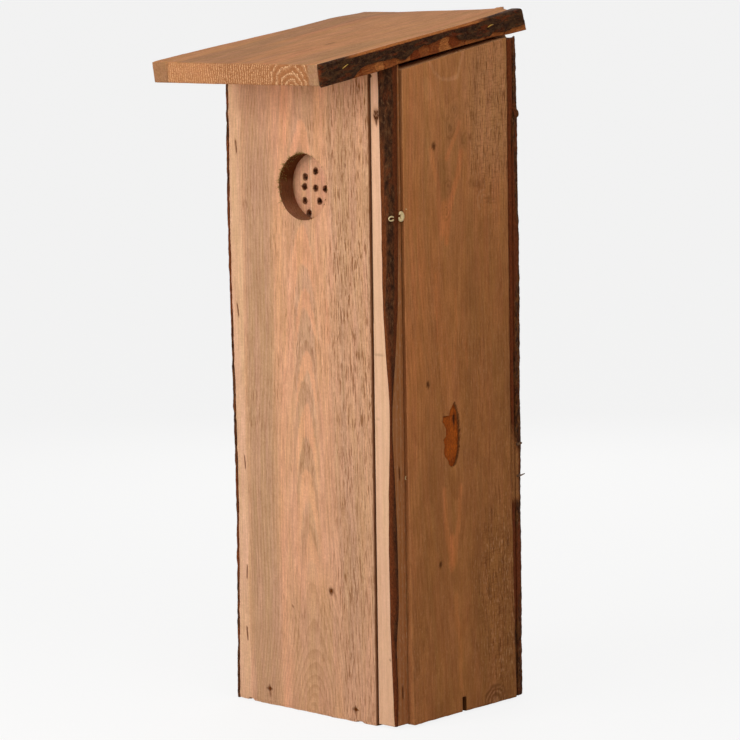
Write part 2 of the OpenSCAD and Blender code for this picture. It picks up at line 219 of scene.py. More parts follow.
def add_piece(name, points, faces, material, **fields):
    """Makes an object of points in mm and four-sided faces, with its fields as attributes: one
    number, a vector or a colour for each point. A face that has lost a corner becomes a
    triangle."""
    mesh = bpy.data.meshes.new(name)
    thin = (faces == np.roll(faces, 1, 1)).any(1)
    corners = faces[~thin].tolist() + [list(dict.fromkeys(f)) for f in faces[thin].tolist()]
    mesh.from_pydata((points * MM).tolist(), [], [c for c in corners if len(c) > 2])
    kinds = {1: ("FLOAT", "value"), 3: ("FLOAT_VECTOR", "vector"), 4: ("FLOAT_COLOR", "color")}
    for field, values in fields.items():
        values = np.asarray(values, np.float32)
        kind, key = kinds[values.shape[1] if values.ndim > 1 else 1]
        mesh.attributes.new(field, kind, "POINT").data.foreach_set(key, values.ravel())
    mesh.shade_smooth()
    mesh.materials.append(material)
    piece = bpy.data.objects.new(name, mesh)
    bpy.context.scene.collection.objects.link(piece)
    return piece


def sawn(points, along, wear=0.45):
    """Roughens a box's faces as a band saw and handling leave them. A face sinks by slow lumps,
    by saw marks across the grain, and by wear, which eases off 1.8 mm from its nearest edge."""
    moved = points.copy()
    gaps = np.stack([points - points.min(0), points.max(0) - points])
    saw, slow = np.full(3, 45.0), np.full(3, 26.0)
    saw[along], slow[along] = 2.4, 70.0
    for axis in range(3):
        for side in (0, 1):
            on = gaps[side, :, axis] < touch
            p = points[on]
            edge = np.delete(gaps[:, on], axis, axis=2).min(axis=(0, 2))
            nick = 1 + 0.7 * lumps(p, 6.0)
            sink = 0.12 + 0.12 * lumps(p, slow) + 0.05 * lumps(p, saw)
            sink += wear * nick * ease(edge, 1.8, 0)
            moved[on, axis] += (1 - 2 * side) * sink
    return moved


def growth(points, pith, across=1.0):
    """Distance in mm from the pith's line, which may wander, as a year ring's place. Slow noise
    bends the rings, and the years' widths differ."""
    r = np.hypot(points[:, 0] - pith[0], points[:, 1] - pith[1])
    r = r + across * lumps(points, (34, 34, 130)) + 0.25 * lumps(points, (6, 6, 30))
    return r + 0.9 * np.sin(r / 5.5)


def in_grain(tree, across, along, detail=2.0, low=0.35, high=0.65):
    """Noise from black to white in cells of across by along mm of the grain's own axes."""
    grain = add_node(tree, "ShaderNodeAttribute", attribute_name="grain").outputs["Vector"]
    grain = add_node(tree, "ShaderNodeVectorMath", {0: grain, 1: (
        1 / across, 1 / across, 1 / along)}, operation="MULTIPLY")
    cells = add_node(tree, "ShaderNodeTexNoise", {
        "Vector": grain, "Scale": 1.0, "Detail": detail, "Roughness": 0.6})
    return add_node(tree, "ShaderNodeMapRange", {
        "Value": cells, "From Min": low, "From Max": high})


def layered(tree, colour, *layers):
    """A colour with others laid over it in turn. A layer is a colour and the numbers or patterns
    whose product is its share. One without a share tints the whole instead."""
    for over, *shares in layers:
        share = shares[0] if shares else 1.0
        for factor in shares[1:]:
            share = add_node(tree, "ShaderNodeMath", {0: share, 1: factor}, operation="MULTIPLY")
        colour = add_node(tree, "ShaderNodeMixRGB", {0: share, 1: colour, 2: over},
                          blend_type="MIX" if shares else "MULTIPLY")
    return colour


def sawn_fir(name, early, late, rose, grey, pale, dash, mark_and_shade="#4A2408", year=2.6, ringed=0.5,
             scratch=0.15, fleck=0.45, rough=1.0, mottle=0.93, end_early="#B98254",
             end_late="#DDB083"):
    """Rough-sawn, untreated Douglas fir: matt, with torn fibres. Attributes give the rings, the
    grain's own axes in mm, and where it is pale, grey, torn, rosy, marked or end grain. The pale
    and grey shares also carry painted light and shade, and the marks carry painted shade too."""
    material, tree = new_material(name)
    rings, marks, ends, tint = (add_node(tree, "ShaderNodeAttribute", attribute_name=field)
                                for field in ("rings", "marks", "ends", "tint"))
    rings, marks, ends = (field.outputs["Fac"] for field in (rings, marks, ends))
    rosy = tint.outputs["Alpha"]
    pale_and_painted_light, dull, torn = add_node(tree, "ShaderNodeSeparateColor", {
        0: tint.outputs["Color"]}).outputs
    # Fibres are a third of a millimetre wide. They are drawn coarser, so that they show.
    fibre, tuft, fuzz, speck, kerf, pores = (in_grain(tree, *cells) for cells in (
        (1.1, 26.0, 3.0), (1.0, 13.0, 3.0, 0.52, 0.63), (1.1, 4.5, 1.0, 0.58, 0.72),
        (1.4, 1.6, 2.0, 0.32, 0.68), (7.0, 1.3, 2.0, 0.5, 0.66), (0.9, 2.0, 1.0, 0.3, 0.55)))
    # A year of so many mm darkens slowly to its summer wood and ends at once.
    phase, slow = (add_node(tree, "ShaderNodeMath", {0: rings, 1: rate}, operation="MULTIPLY")
                   for rate in (1 / year, 0.16))
    phase = add_node(tree, "ShaderNodeMath", {0: phase}, operation="FRACT")
    year_stops = ((0, 0), (0.4, 0.1), (0.8, 0.85), (0.93, 1), (1, 0))
    summer = add_node(tree, "ShaderNodeValToRGB", {0: phase}, [
        (place, (v, v, v, 1)) for place, v in year_stops])
    band = add_node(tree, "ShaderNodeTexNoise", {"W": slow, "Scale": 1.0, "Detail": 1.0},
                    noise_dimensions="1D")
    band = add_node(tree, "ShaderNodeMapRange", {"Value": band, "From Min": 0.38,
                    "From Max": 0.62})
    colour = layered(tree, early, (late, summer, ringed), (rose, band, 0.3))
    for own, share, rest in ((rose, rosy, 0.3), (grey, dull, 0.8), (pale, pale_and_painted_light, 0.12)):
        own = layered(tree, own, (late, summer, rest * ringed * 2))
        colour = layered(tree, colour, (own, share))
    for pattern, low, high in (
            (fibre, (0.86, 0.84, 0.81), (1.06, 1.06, 1.06)),
            (kerf, (0.97, 0.96, 0.95), (1.03, 1.03, 1.03)),
            (speck, (0.9, 0.88, 0.86), (1.05, 1.05, 1.05)),
            (in_grain(tree, 9.0, 22.0), (mottle, mottle - 0.02, mottle - 0.04), (1.05,) * 3),
            (in_grain(tree, 6.0, 70.0), (0.98, 1.0, 0.93), (1.02, 0.99, 1.06))):
        low, high = ([1 + rough * (c - 1) for c in shade] + [1] for shade in (low, high))
        colour = layered(tree, colour, (add_node(tree, "ShaderNodeValToRGB", {0: pattern}, (
            (0, low), (1, high))),))
    shade = add_node(tree, "ShaderNodeValToRGB", {0: in_grain(tree, 0.9, 2.0)}, (
        (0, (0.76, 0.7, 0.66, 1)), (1, (1.14, 1.13, 1.12, 1))))
    end_grain = layered(tree, end_early, (end_late, summer, summer, pores), (shade,))
    colour = layered(tree, colour, (dash, tuft, torn), (dash, kerf, torn, scratch),
                     (pale, fuzz, torn, fleck), (end_grain, ends), (mark_and_shade, marks))
    height = add_node(tree, "ShaderNodeMath", {0: kerf, 1: 0.6, 2: fibre},
                      operation="MULTIPLY_ADD")
    pulled = add_node(tree, "ShaderNodeMath", {0: tuft, 1: torn}, operation="MULTIPLY")
    height = add_node(tree, "ShaderNodeMath", {0: height, 1: pulled}, operation="SUBTRACT")
    bump = add_node(tree, "ShaderNodeBump", {"Height": height, "Strength": 0.6,
                    "Distance": 0.25 * MM})
    skin = add_node(tree, "ShaderNodeBsdfPrincipled", {"Base Color": colour, "Roughness": 0.85,
                    "IOR": 1.5, "Specular IOR Level": 0.08, "Normal": bump})
    add_node(tree, "ShaderNodeOutputMaterial", {"Surface": skin})
    return material


def near(points, place, reach):
    """1 at a place, falling to 0 at reach mm from it. Place and reach may be of fewer axes."""
    return 1 - ease(np.linalg.norm((points - np.array(place)) / reach, axis=-1), 0.45, 1.0)


def patches(places, *table):
    """The strongest of several patches at each place. Each has a middle, reach and strength."""
    return np.max([share * near(places, middle, reach) for middle, reach, share in table], axis=0)


def strokes(places, *table):
    """The strongest of several strokes at each place. Each is a path of straight stretches, how
    far from it in mm it ends, and its strength."""
    found = []
    for path, wide, share in table:
        path = np.array(path, float)
        start, way = path[:-1], np.diff(path, axis=0)
        there = places[:, None] - start
        t = np.clip((there * way).sum(2) / (way * way).sum(1), 0, 1)
        gap = np.linalg.norm(there - t[..., None] * way, axis=2).min(1)
        found.append(share * ease(gap, wide, 0.3 * wide))
    return np.max(found, axis=0)


def knots(places, table, swell=1.3, long=2.3, reach=(0.9, 1.2), wobble=0):
    """What knots on a face add to the rings' place, and how dark they are. Round a knot of size
    s the rings swell by swell * s * exp(-r^2 / 5) at r sizes from it, where r's part along the
    grain is divided by long."""
    rings, dark = 0, 0
    for across, along, size, share in table:
        away = np.hypot(*((places - (across, along)) / (size, size * long)).T)
        rings = rings + size * swell * np.exp(-away**2 / 5)
        dark = np.maximum(dark, share * near(places + wobble, (across, along), np.array(
            reach) * size))
    return rings, dark


def box_of(node):
    """A CAD node's lowest and highest corner in mm."""
    return (np.array(corner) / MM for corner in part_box(node))


slope = np.radians(8.7)
board_low, board_high = box_of("front_board")
front_y, inner_y = board_low[1], board_high[1]
wall_top = board_high[2] - (inner_y - front_y) * np.tan(slope)


def eaves(y):
    """Height of the roof's underside over a depth y."""
    return wall_top + (y - front_y) * np.tan(slope)


def lift(points, top, reach=50, more=0.0):
    """How far up to move points so that a board that ends level at a top ends on the roof's
    slope instead. Only its upper reach in mm moves."""
    return (eaves(points[..., 1]) - top + more) * ease(points[..., 2], top - reach, top)


def edge_of(node, axis, pick, keep=lambda c: slice(None)):
    """A CAD node's outline along its height: the lowest or highest corner on an axis at each
    height, as a function that joins them smoothly."""
    c = np.array([v.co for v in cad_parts[node].data.vertices]) / MM
    c = c[keep(c)]
    levels = np.unique(c[:, 2].round(1))
    ends = np.array([pick(c[np.abs(c[:, 2] - z) < 0.06, axis]) for z in levels])
    return lambda z: np.mean([np.interp(z + s, levels, ends) for s in (-7, -3, 0, 3, 7)], axis=0)


def bored(lines, holes, radius, half):
    """A board's faces with round holes along y, at places on x and z. Round a hole, each face is
    a ring of rays from a square of the grid's own lines to the circle, and a wall joins both."""
    xs, ys, zs = lines
    grids = box_grids(lines)
    steps = np.array([0, 0.3, 0.55, 0.75, 0.88, 0.96, 1])[:, None, None]
    for place in holes:
        x, z = (v[np.abs(v - c) < half + touch] for v, c in zip((xs, zs), place))
        loop = np.concatenate([np.stack(np.broadcast_arrays(*side), 1)[skip:] for side, skip in (
            ((x, z[0]), 0), ((x[-1], z), 1), ((x[::-1], z[-1]), 1), ((x[0], z[::-1]), 1))])
        out = loop - place
        rim = place + radius * out / np.linalg.norm(out, axis=1)[:, None]
        ring = loop * (1 - steps) + rim * steps
        grids += [np.insert(ring, 1, ys[0], axis=2)[:, ::-1], np.insert(ring, 1, ys[-1], axis=2),
                  np.stack([np.insert(rim, 1, y, axis=1)[::-1] for y in ys])]
    return weld(grids, lambda c: (np.abs(c[:, None, [0, 2]] - holes) < half).all(2).any(1))


live_edge = edge_of("front_board_bark", 0, np.min)
bark_deep = 2.2
hole, hole_r, hole_half = np.array([-3.0, 399.5]), 25.0, 30.0
front_staples = [(-73.3, 427.6, 6), (-75.2, 302.8, 9), (-71.2, 185.6, 6), (-71.3, 99.6, -3),
                 (-72.2, 51.7, 6)]
front_nails = [(-48.8, 11.2), (41.7, 8.4)]
xs = spaced([-81.8, -78, -68, -55, -43, hole[0] - hole_half, hole[0] + hole_half, 36, 47,
             board_high[0]], [1.0, 0.5, 1.3, 0.8, 1.4, 1.4, 1.4, 0.8, 1.4])
zs = spaced([0, 18, hole[1] - hole_half, hole[1] + hole_half, wall_top], [0.8, 1.8, 1.5, 1.7])
ys = through(front_y, inner_y, 1.7)
flat, faces = bored((xs, ys, zs), [hole], hole_r, hole_half)
fx, fy, fz = flat.T
p = sawn(flat, 2)
face = at(fy, front_y)
from_hole = np.hypot(*(flat[:, [0, 2]] - hole).T)
p[:, 1] += np.where(face, 0.35 * near(from_hole[:, None], [hole_r], 1.6), 0)
marks = np.zeros(len(p))
for x, z, tilt in front_staples:
    a = np.radians(tilt)
    u = (fx - x) * np.cos(a) + (fz - z) * np.sin(a)
    v = (fz - z) * np.cos(a) - (fx - x) * np.sin(a)
    marks = np.maximum(marks, ease(np.abs(u), 1.0, 0.35) * ease(np.abs(v), 6.0, 4.4))
for x, z in front_nails:
    u, v = fx - x, fz - z
    split = ease(np.abs(u + 0.12 * v), 0.9, 0.3) * ease(v, -9, -4) * ease(v, 4, 1)
    star = patches(flat[:, [0, 2]], ((x, z), 2.6, 1.0), ((x, z), (4.6, 1.2), 0.8), (
        (x, z), (1.2, 4.6), 0.8))
    marks = np.maximum.reduce([marks, star, 0.7 * split])
p[face, 1] += 0.9 * marks[face]
p[:, 0] += (live_edge(fz) + bark_deep - xs[0]) * ease(fx, -66, -81)
p[:, 0] -= 1.6 * (1 - fz / wall_top) * ease(fx, 52, 64)
p[:, 2] += lift(flat, wall_top)
p[:, 2] += ease(fz, 1.0, 0) * (
    -1.4 + 0.8 * ease(fx, -67.5, -69) + 1.5 * near(flat, (-69, front_y, 0), 4)
    + 1.3 * near(flat, (46, front_y, 0), 5) + 0.25 * lumps(flat, 9.0))

# The face cuts the cones of the year rings to tall arches, because the pith lies ever farther
# behind it towards the top. They turn from light to orange and back at the cell's stops.
xz = p[:, [0, 2]]
x, z = xz.T
core = 3 * np.sin(z / 95 + 1) + 2 * np.sin(z / 37) - 4.5 + 0.008 * z
heights = [0, 8, 32, 50, 63, 73, 103, 150, 490]
depths = [3, 6, 15.5, 21, 22.5, 23.6, 26.2, 28.8, 46.5]
deep_pith = np.interp(z, heights, depths)
swell, knot = knots(xz, ((18.9, 96.0, 4.2, 1), (-22.0, 78.6, 1.4, 1), (41.0, 416.8, 1.4, 1)),
                    1.1, 2.2, (0.75, 0.9))
year = growth(p, (core, front_y + deep_pith), 1.4) + swell
# Painted shade: the entrance's wall is darkened, most towards its top and least towards its foot,
# and so is the board's right end in the gap by the corner post.
wall = (from_hole < hole_r + 0.1) & (fy > front_y + 0.1) & (fy < inner_y - 0.1)
bore = 0.8 + 0.14 * ease(z, hole[1] + 2, hole[1] + 6) - 0.3 * ease(z, hole[1] - 6, hole[1] - 23)
marks = np.maximum.reduce([marks, knot, wall * bore, 0.82 * at(fx, xs[-1])])
sap = 1 - ease(x + 0.6 * lumps(p, (9, 9, 90)), -70.0, -66.5)
arch = np.interp(np.hypot(x - core, deep_pith), depths, heights) + 4 * lumps(p, (4.5, 4.5, 7))
cell = np.interp(arch, [60, 84, 97, 118, 138, 162, 190, 210, 238, 260, 278, 307, 325, 343, 374,
                        430, 450, 520, 560], np.arange(19) / 2) % 1
orange = ease(cell, 0.46, 0.54) * ease(cell, 1.0, 0.93)
middle = ease(np.abs(x - core), 15, 8) * ease(z, 70, 150)
flame = np.maximum.reduce([
    (0.35 + 0.3 * ease(z, 130, 230)) * middle * orange,
    0.3 * ease(x, -46, -30) * ease(x, 28, 14) * (1 - middle),
    patches(xz, ((-21.5, 456), (6, 42), 0.8), ((-77, 440), (9, 60), 0.4)),
    strokes(xz + 0.8 * lumps(p, (9, 9, 14))[:, None], (((19, 315), (21, 285)), 3, 0.7), (
        ((-15, 165), (-15.5, 105)), 1.6, 0.6))])
foot_arch = ease(z, 112, 70) * ease(np.abs(x - core), 30, 18)
hollow = middle * (1 - orange) * (0.55 + 0.45 * lumps(p, (20, 20, 30)))
wavy_x = x + 5 * lumps(p, (20, 20, 90))
# Painted light: the grey on the left eases off under the roof, to offset the roof's shadow there.
dull = np.maximum.reduce([
    0.7 * ease(x, -69, -62) * ease(wavy_x, -30, -42) * (1 - 0.45 * ease(z, 400, 470)),
    0.6 * ease(wavy_x, 18, 34) * (0.6 + 0.5 * lumps(p, (4.5, 9, 150))),
    0.6 * hollow, 0.45 * foot_arch])
torn = 0.2 + 0.6 * ease(wavy_x, 16, 34) + 0.1 * ease(x, -20, -40) + 0.3 * hollow
torn += 0.25 * foot_arch - 0.18 * middle * orange + 0.3 * ease(lumps(p, (14, 14, 40)), 0, 0.6)
torn *= (1 - 0.95 * sap) * (0.7 + 0.3 * ease(z, 60, 240))
fir_front = sawn_fir("rough_sawn_fir_front", "#DCAB88", "#A27452", "#E9AB82", "#BE9878",
                     "#E2B592", "#865632", mark_and_shade="#5E2E0A", ringed=0.3, rough=0.85)
front = add_piece("front_board_sawn", p, faces, fir_front, rings=year, grain=p, marks=marks,
                  ends=0.9 * (at(fz, 0, zs[-1]) & ~face),
                  tint=np.stack([0.85 * sap, dull, torn, flame], 1))
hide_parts("front_board")
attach(front, "box")


# Front board's bark. A thin strip of bark is left along the board's live edge, as the log grew
# it. Saw and handling have frayed it.
def fir_bark(name, crust="#54301A", ridge="#7A5A40", crack="#2C1508", inner="#703818",
             torn="#BE7A42"):
    """Young Douglas fir bark: matt scales, greyer on their ridges and dark between them.
    Attributes say where the crust is off, down to red inner bark or to torn orange bast."""
    material, tree = new_material(name)
    bare, bast = (add_node(tree, "ShaderNodeAttribute", attribute_name=field).outputs["Fac"]
                  for field in ("bare", "torn"))
    scale, fine, reddish, worn, red, string = (
        in_grain(tree, across, along, 3.0, low, high) for across, along, low, high in (
            (3.2, 6.5, 0.4, 0.62), (0.9, 2.2, 0.35, 0.68), (4.0, 16.0, 0.52, 0.66),
            (2.2, 4.0, 0.58, 0.7), (1.2, 9.0, 0.3, 0.7), (1.2, 10.0, 0.3, 0.7)))
    under = layered(tree, crack, (inner, red), (inner, 0.72))
    fibres = layered(tree, inner, (torn, string), (torn, 0.55))
    shade = add_node(tree, "ShaderNodeValToRGB", {0: fine}, (
        (0, (0.62, 0.6, 0.58, 1)), (1, (1.16, 1.15, 1.14, 1))))
    colour = layered(tree, crack, (crust, scale), (inner, reddish, 0.6), (ridge, worn, 0.55),
                     (under, bare), (fibres, bast), (shade,))
    height = add_node(tree, "ShaderNodeMath", {0: scale, 1: fine}, operation="ADD")
    bump = add_node(tree, "ShaderNodeBump", {"Height": height, "Strength": 0.8,
                    "Distance": 0.5 * MM})
    skin = add_node(tree, "ShaderNodeBsdfPrincipled", {"Base Color": colour, "Roughness": 0.8,
                    "IOR": 1.5, "Specular IOR Level": 0.1, "Normal": bump})
    add_node(tree, "ShaderNodeOutputMaterial", {"Surface": skin})
    return material


def scales(points, deep, long=1.0):
    """Bark's relief in mm: ridges where slow noise passes zero, and small scales over them."""
    ridge = 1 - np.abs(lumps(points, (5, 5, 22 * long)))
    return deep * (0.55 * ridge + 0.3 * lumps(points, (2.6, 2.6, 5)) + 0.2 * lumps(points, 1.3))


flat, faces = weld(box_grids((np.linspace(0, bark_deep, 4), spaced([front_y, inner_y], [1.1]),
                              spaced([0, wall_top], [1.5]))))
fx, fy, fz = flat.T
p = flat.copy()
fray = lumps(flat, (3, 3, 7))
p[:, 0] += live_edge(fz) + (1 - fx / bark_deep) * (0.5 - scales(flat, 0.9))
p[:, 1] += (fy == front_y) * (0.3 + 0.45 * fray) - (fy == inner_y) * (0.5 + 0.4 * fray)
p[:, 2] += lift(flat, wall_top) - 0.6 * (fz == 0)
bark_edge = fir_bark("fir_bark_thin_edge", "#6E4222", "#8A6446", "#40220F", "#8A4420")
edge_bark = add_piece("front_edge_bark", p, faces, bark_edge, grain=p, torn=0 * fx,
                      bare=0.6 * ease(lumps(p, (8, 8, 40)), 0.1, 0.5))
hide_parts("front_board_bark")
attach(edge_bark, "box")


# Corner post. A narrow sawn strip of pale sapwood with the log's round corner on its outside.
# It is stapled through its side to the front board's edge, and one nail makes the door's pivot.
def closed(rows):
    """A tube of rows of points. Each row is a loop, counterclockwise seen from the last row's
    end. Loops that shrink to a middle point close both ends."""
    ends = [[loop.mean(0) + (loop - loop.mean(0)) * share for share in (0, 0.5)]
            for loop in (rows[0], rows[-1])]
    rows = np.stack([*ends[0], *rows, *ends[1][::-1]])
    return np.concatenate([rows, rows[:, :1]], axis=1)[:, ::-1]


def stacked(loops, zs):
    """Rows of points on x and y, one above another: each row's height is the third number."""
    return np.concatenate([loops, np.broadcast_to(zs[:, None, None], loops.shape[:2] + (1,))], 2)


post_low, post_high = box_of("corner_post")
post_left = edge_of("corner_post", 0, np.min)
cut_x = edge_of("corner_post", 0, np.max, lambda c: c[:, 1] < post_low[1] + 0.05)
cut_y = edge_of("corner_post", 1, np.min, lambda c: c[:, 0] > post_high[0] - 0.05)


def round_corner(zs):
    """Where the log's round corner starts on the front and ends on the right side, at heights:
    the CAD's own cuts, frayed by small lumps."""
    fray = [0.25 * lumps(np.stack([0 * zs + k, 0 * zs + 1, zs], 1), (9, 9, 14)) for k in (9, 70)]
    return cut_x(zs) + fray[0], cut_y(zs) + fray[1]


zs = spaced([post_low[2], 30, wall_top], [0.9, 1.5])
from_x, to_y = round_corner(zs)
corners = [np.stack([0 * zs + x, 0 * zs + y], 1) for x, y in (
    (post_left(zs), post_low[1]), (from_x, post_low[1]), (post_high[0], to_y), post_high[:2],
    (post_left(zs), post_high[1]))]
counts = (16, 8, 12, 7, 7)
loops = []
for k, count in enumerate(counts):
    t = (1 - np.cos(np.pi * np.arange(count) / count))[None, :, None] / 2
    loops.append(corners[k][:, None] * (1 - t) + corners[(k + 1) % 5][:, None] * t)
rows = stacked(np.concatenate(loops, 1), zs)
arris = np.concatenate([np.arange(count) == 0 for count in counts])
outward = np.repeat([(0, -1), (0.87, -0.49), (1, 0), (0, 1), (-1, 0)], counts, axis=0)
sunk = 0.1 + 0.12 * lumps(rows, (12, 12, 60)) + 0.03 * lumps(rows, (40, 40, 2.4)) + 0.25 * arris
rows[..., :2] -= sunk[..., None] * outward * (1 - 0.6 * arris)[:, None]
rows[..., 1] += 0.35 * ease(rows[..., 1], post_high[1] - 2, post_high[1] - 0.3)
rows[..., 2] += lift(rows, wall_top, 40)
p, faces = weld([closed(rows)])
x, y, z = p.T
xz = p[:, [0, 2]]
post_nail = np.array([71.4, 454.5])
star = 1 + 0.45 * np.cos(6 * np.arctan2(z - post_nail[1], x - post_nail[0]))
on_front = y < post_low[1] + 0.6
stain = np.maximum.reduce([
    on_front * star * near(xz, post_nail, (3.8, 5.4)), on_front * patches(
        xz, (post_nail + [0.2, -4.0], (1.4, 5.5), 0.9), ((70, 332), (9, 0.5), 0.35),
        ((70.5, 279), (9, 0.5), 0.3), ((68.5, 231), (2.2, 1.6), 0.2), ((77, 51), 1.2, 0.5)),
    (x > 80) * patches(p[:, [1, 2]], ((-65, 25.4), (1.3, 7), 1), ((-65, 190.5), (1.3, 7), 1)),
    0.5 * ease(z, 330, 400) * (x > 80.6) * (y < post_high[1] - 1.2)])
halo = near(xz, post_nail, (6.0, 9.5)) * on_front
# Painted shade: the post's left side, by the front board, and its back, by the door, are darkened
# as the shade in those gaps.
seam = (x < post_left(z) + 0.4) | (y > post_high[1] - 0.4) & (x < post_high[0] - 1.5)
fir_post = sawn_fir("planed_fir_sapwood", "#E6B997", "#B88458", "#E2AC88", "#A8683A", "#E8BC9A",
                    "#A0704C", year=3.4, ringed=0.3, rough=0.4)
post = add_piece("corner_post_sawn", p, faces, fir_post, rings=growth(p, (30.0, -10.0), 0.8),
                 grain=p, marks=np.maximum(stain, 0.75 * seam), ends=0 * x, tint=np.stack([
                     0.5 * on_front, np.maximum.reduce([
                         0.8 * halo, ease(x, 80, 80.9), 0.16 * ease(z, 230, 70)]),
                     0.1 + 0.3 * (x > 80.9), 0.3 * ease(lumps(p, (9, 9, 90)), 0, 0.6)], 1))
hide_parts("corner_post")
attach(post, "box")


# Corner post's bark. It covers the log's round corner, wide at the top and foot and hardly
# there in between. Near its left border the crust has come off in a strip.
def bark_strip(name, rows, bare, torn, material, order=(0, 1, 2), place=None):
    """Bark as a closed tube of rows of points. Where the crust is off is given for the first
    points of each row, and its grain runs along the last of the axes in this order."""
    fields = np.zeros(rows.shape[:2] + (2,))
    fields[:, :bare.shape[1], 0], fields[:, :torn.shape[1], 1] = bare, torn
    carried, faces = weld([closed(np.concatenate([rows, fields], 2))])
    points = carried[:, :3]
    return add_piece(name, place(points) if place else points, faces, material,
                     grain=points[:, order], bare=carried[:, 3], torn=carried[:, 4])


zs = spaced([post_low[2], wall_top], [1.1])
from_x, to_y = round_corner(zs)
start = np.stack([from_x, 0 * zs + post_low[1]], 1)[:, None]
chord = np.stack([post_high[0] - from_x, to_y - post_low[1]], 1)[:, None]
span = np.linalg.norm(chord, axis=2)
out = np.stack([chord[..., 1], -chord[..., 0]], 2) / span[..., None]
t = np.linspace(0, 1, 30)
rows = stacked(start + chord * t[:, None], zs)
upper = ease(zs, 250, 290)[:, None]
stripped = upper * ease(zs, 450, 415)[:, None] * (1 - ease(
    t + 0.08 * lumps(rows, (7, 7, 25)), 0.14, 0.24))
smooth_red = np.maximum(
    upper * ease(t + 0.1 * lumps(rows, (7, 7, 25)), 0.68, 0.78),
    ease(zs, 310, 270)[:, None] * (1 - 0.75 * ease(t + 0.3 * lumps(rows, (3, 3, 40)), 0.5, 0.75)))
relief = scales(rows, 0.75) * np.minimum(1, span / 9)
thick = np.minimum(2.0, span / 3) * (1 - np.abs(2 * t - 1)**2.6) * (1 - 0.5 * stripped)
thick += (relief - 0.35) * (1 - 0.7 * np.maximum(stripped, smooth_red)) * (
    1 - np.abs(2 * t - 1)**6)
rows[..., :2] += out * np.maximum(thick, 0.06)[..., None]
seat = stacked(start + chord * np.linspace(1, 0, 6)[1:-1, None] - 0.3 * out, zs)
rows = np.concatenate([rows, seat], 1)
rows[..., 2] += lift(rows, wall_top, 40)
bark_post = fir_bark("fir_bark_corner", "#603A20", "#745438", "#381E0E", "#743818", "#7A4220")
post_bark = bark_strip("corner_bark", rows, 0.9 * smooth_red, stripped, bark_post)
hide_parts("corner_post_bark")
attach(post_bark, "box")


# Side door. One wide board is the box's whole right side, and it hangs on two nails near its
# top. A slot is sawn into its foot, and a pocket of grown-over bark shows in its face.
door_low, door_high = box_of("side_door")
door_gap = 3.9
door_top = eaves(door_low[1]) - door_gap
slot_y, slot_top = np.array([-4.4, -0.4]), door_low[2] + 11
# The pocket's left and right border, as depth and height in mm, from its foot upwards.
pocket_left = np.array([
    [-9.7, 188.4], [-12.6, 190.3], [-14.4, 194.4], [-17.1, 197.0], [-18.1, 200.1], [-17.7, 206.1],
    [-18.9, 210.1], [-16.0, 211.9], [-15.5, 218.3], [-17.4, 221.2], [-19.4, 223.7],
    [-19.1, 227.0], [-12.0, 227.4], [-11.0, 231.0], [-9.6, 233.1], [-7.4, 235.4], [-6.0, 236.7]])
pocket_right = np.array([
    [-9.7, 188.4], [-7.2, 188.9], [-4.7, 192.3], [-3.3, 196.7], [-1.8, 200.3], [-1.5, 204.1],
    [-1.1, 209.4], [-0.7, 216.5], [-1.2, 221.7], [-2.4, 229.4], [-6.0, 236.7]])


def warped(z):
    """How far the door's foot has warped outwards in mm: a parabola over its lower two thirds."""
    return 3.2 * (1 - np.minimum(z / 320, 1))**2


def pocket_sides(z):
    """The pocket's left and right border at heights."""
    return (np.interp(z, side[:, 1], side[:, 0]) for side in (pocket_left, pocket_right))


def in_pocket(y, z):
    """How far a place is inside the pocket's outline in mm: the least of the distances to its
    borders at that height, and to its ends."""
    left, right = pocket_sides(z)
    return np.minimum.reduce([y - left, right - y, z - pocket_left[0, 1], pocket_left[-1, 1] - z])


xs = through(door_low[0], door_high[0], 1.8)
ys = spaced([door_low[1], door_low[1] + 3, -20.5, slot_y[0], slot_y[1], 0.5, door_high[1] - 3,
             door_high[1]], [0.7, 1.3, 0.6, 0.67, 0.7, 1.4, 0.7])
zs = spaced([door_low[2], slot_top, 186, 239, 355, door_top], [0.9, 2.0, 0.8, 2.0, 1.3])
in_slot = ys[(ys > slot_y[0] - touch) & (ys < slot_y[1] + touch)]
slot_z = zs[zs < slot_top + touch]
# The slot's three walls face into it, so two of them are turned round.
walls = [np.stack(np.broadcast_arrays(xs[:, None], wall_y, wall_z), -1)[::turned]
         for wall_y, wall_z, turned in ((slot_y[0], slot_z, -1), (slot_y[1], slot_z, 1),
                                        (in_slot, slot_top, -1))]
flat, faces = weld(box_grids((xs, ys, zs)) + walls, lambda c: (
    c[:, 1] > slot_y[0]) & (c[:, 1] < slot_y[1]) & (c[:, 2] < slot_top))
fx, fy, fz = flat.T
p = sawn(flat, 2, wear=0.25)
face = at(fx, xs[-1])
deep = in_pocket(fy, fz) + 0.45 * lumps(flat, 2.0)
p[face, 0] -= 3.0 * ease(deep[face], -0.3, 0.7)
p[:, 0] += warped(fz)
p[:, 2] += lift(flat, door_top, 60, 1.7 * ease(fy, -70, 60) - door_gap) - 0.7 * (fz == zs[0])
yz = p[:, [1, 2]]
y, z = yz.T
wavy = yz + 0.8 * lumps(p, (9, 9, 14))[:, None]
pith = (-6 + 3 * np.sin(z / 80) + 2 * np.sin(z / 33), 42 + 0.054 * z)
swell, knot = knots(yz, ((-35.5, 253.3, 2.8, 0.9), (-25.4, 429.5, 3.2, 0.85), (
    -25.7, 116.3, 2.5, 0.9), (33.5, 6.7, 3.0, 0.5)), 1.4, 2.4, (0.85, 1.35), 0.5 * lumps(
        p, 2.0)[:, None])
year = growth(p[:, [1, 0, 2]], pith, 1.6) + swell

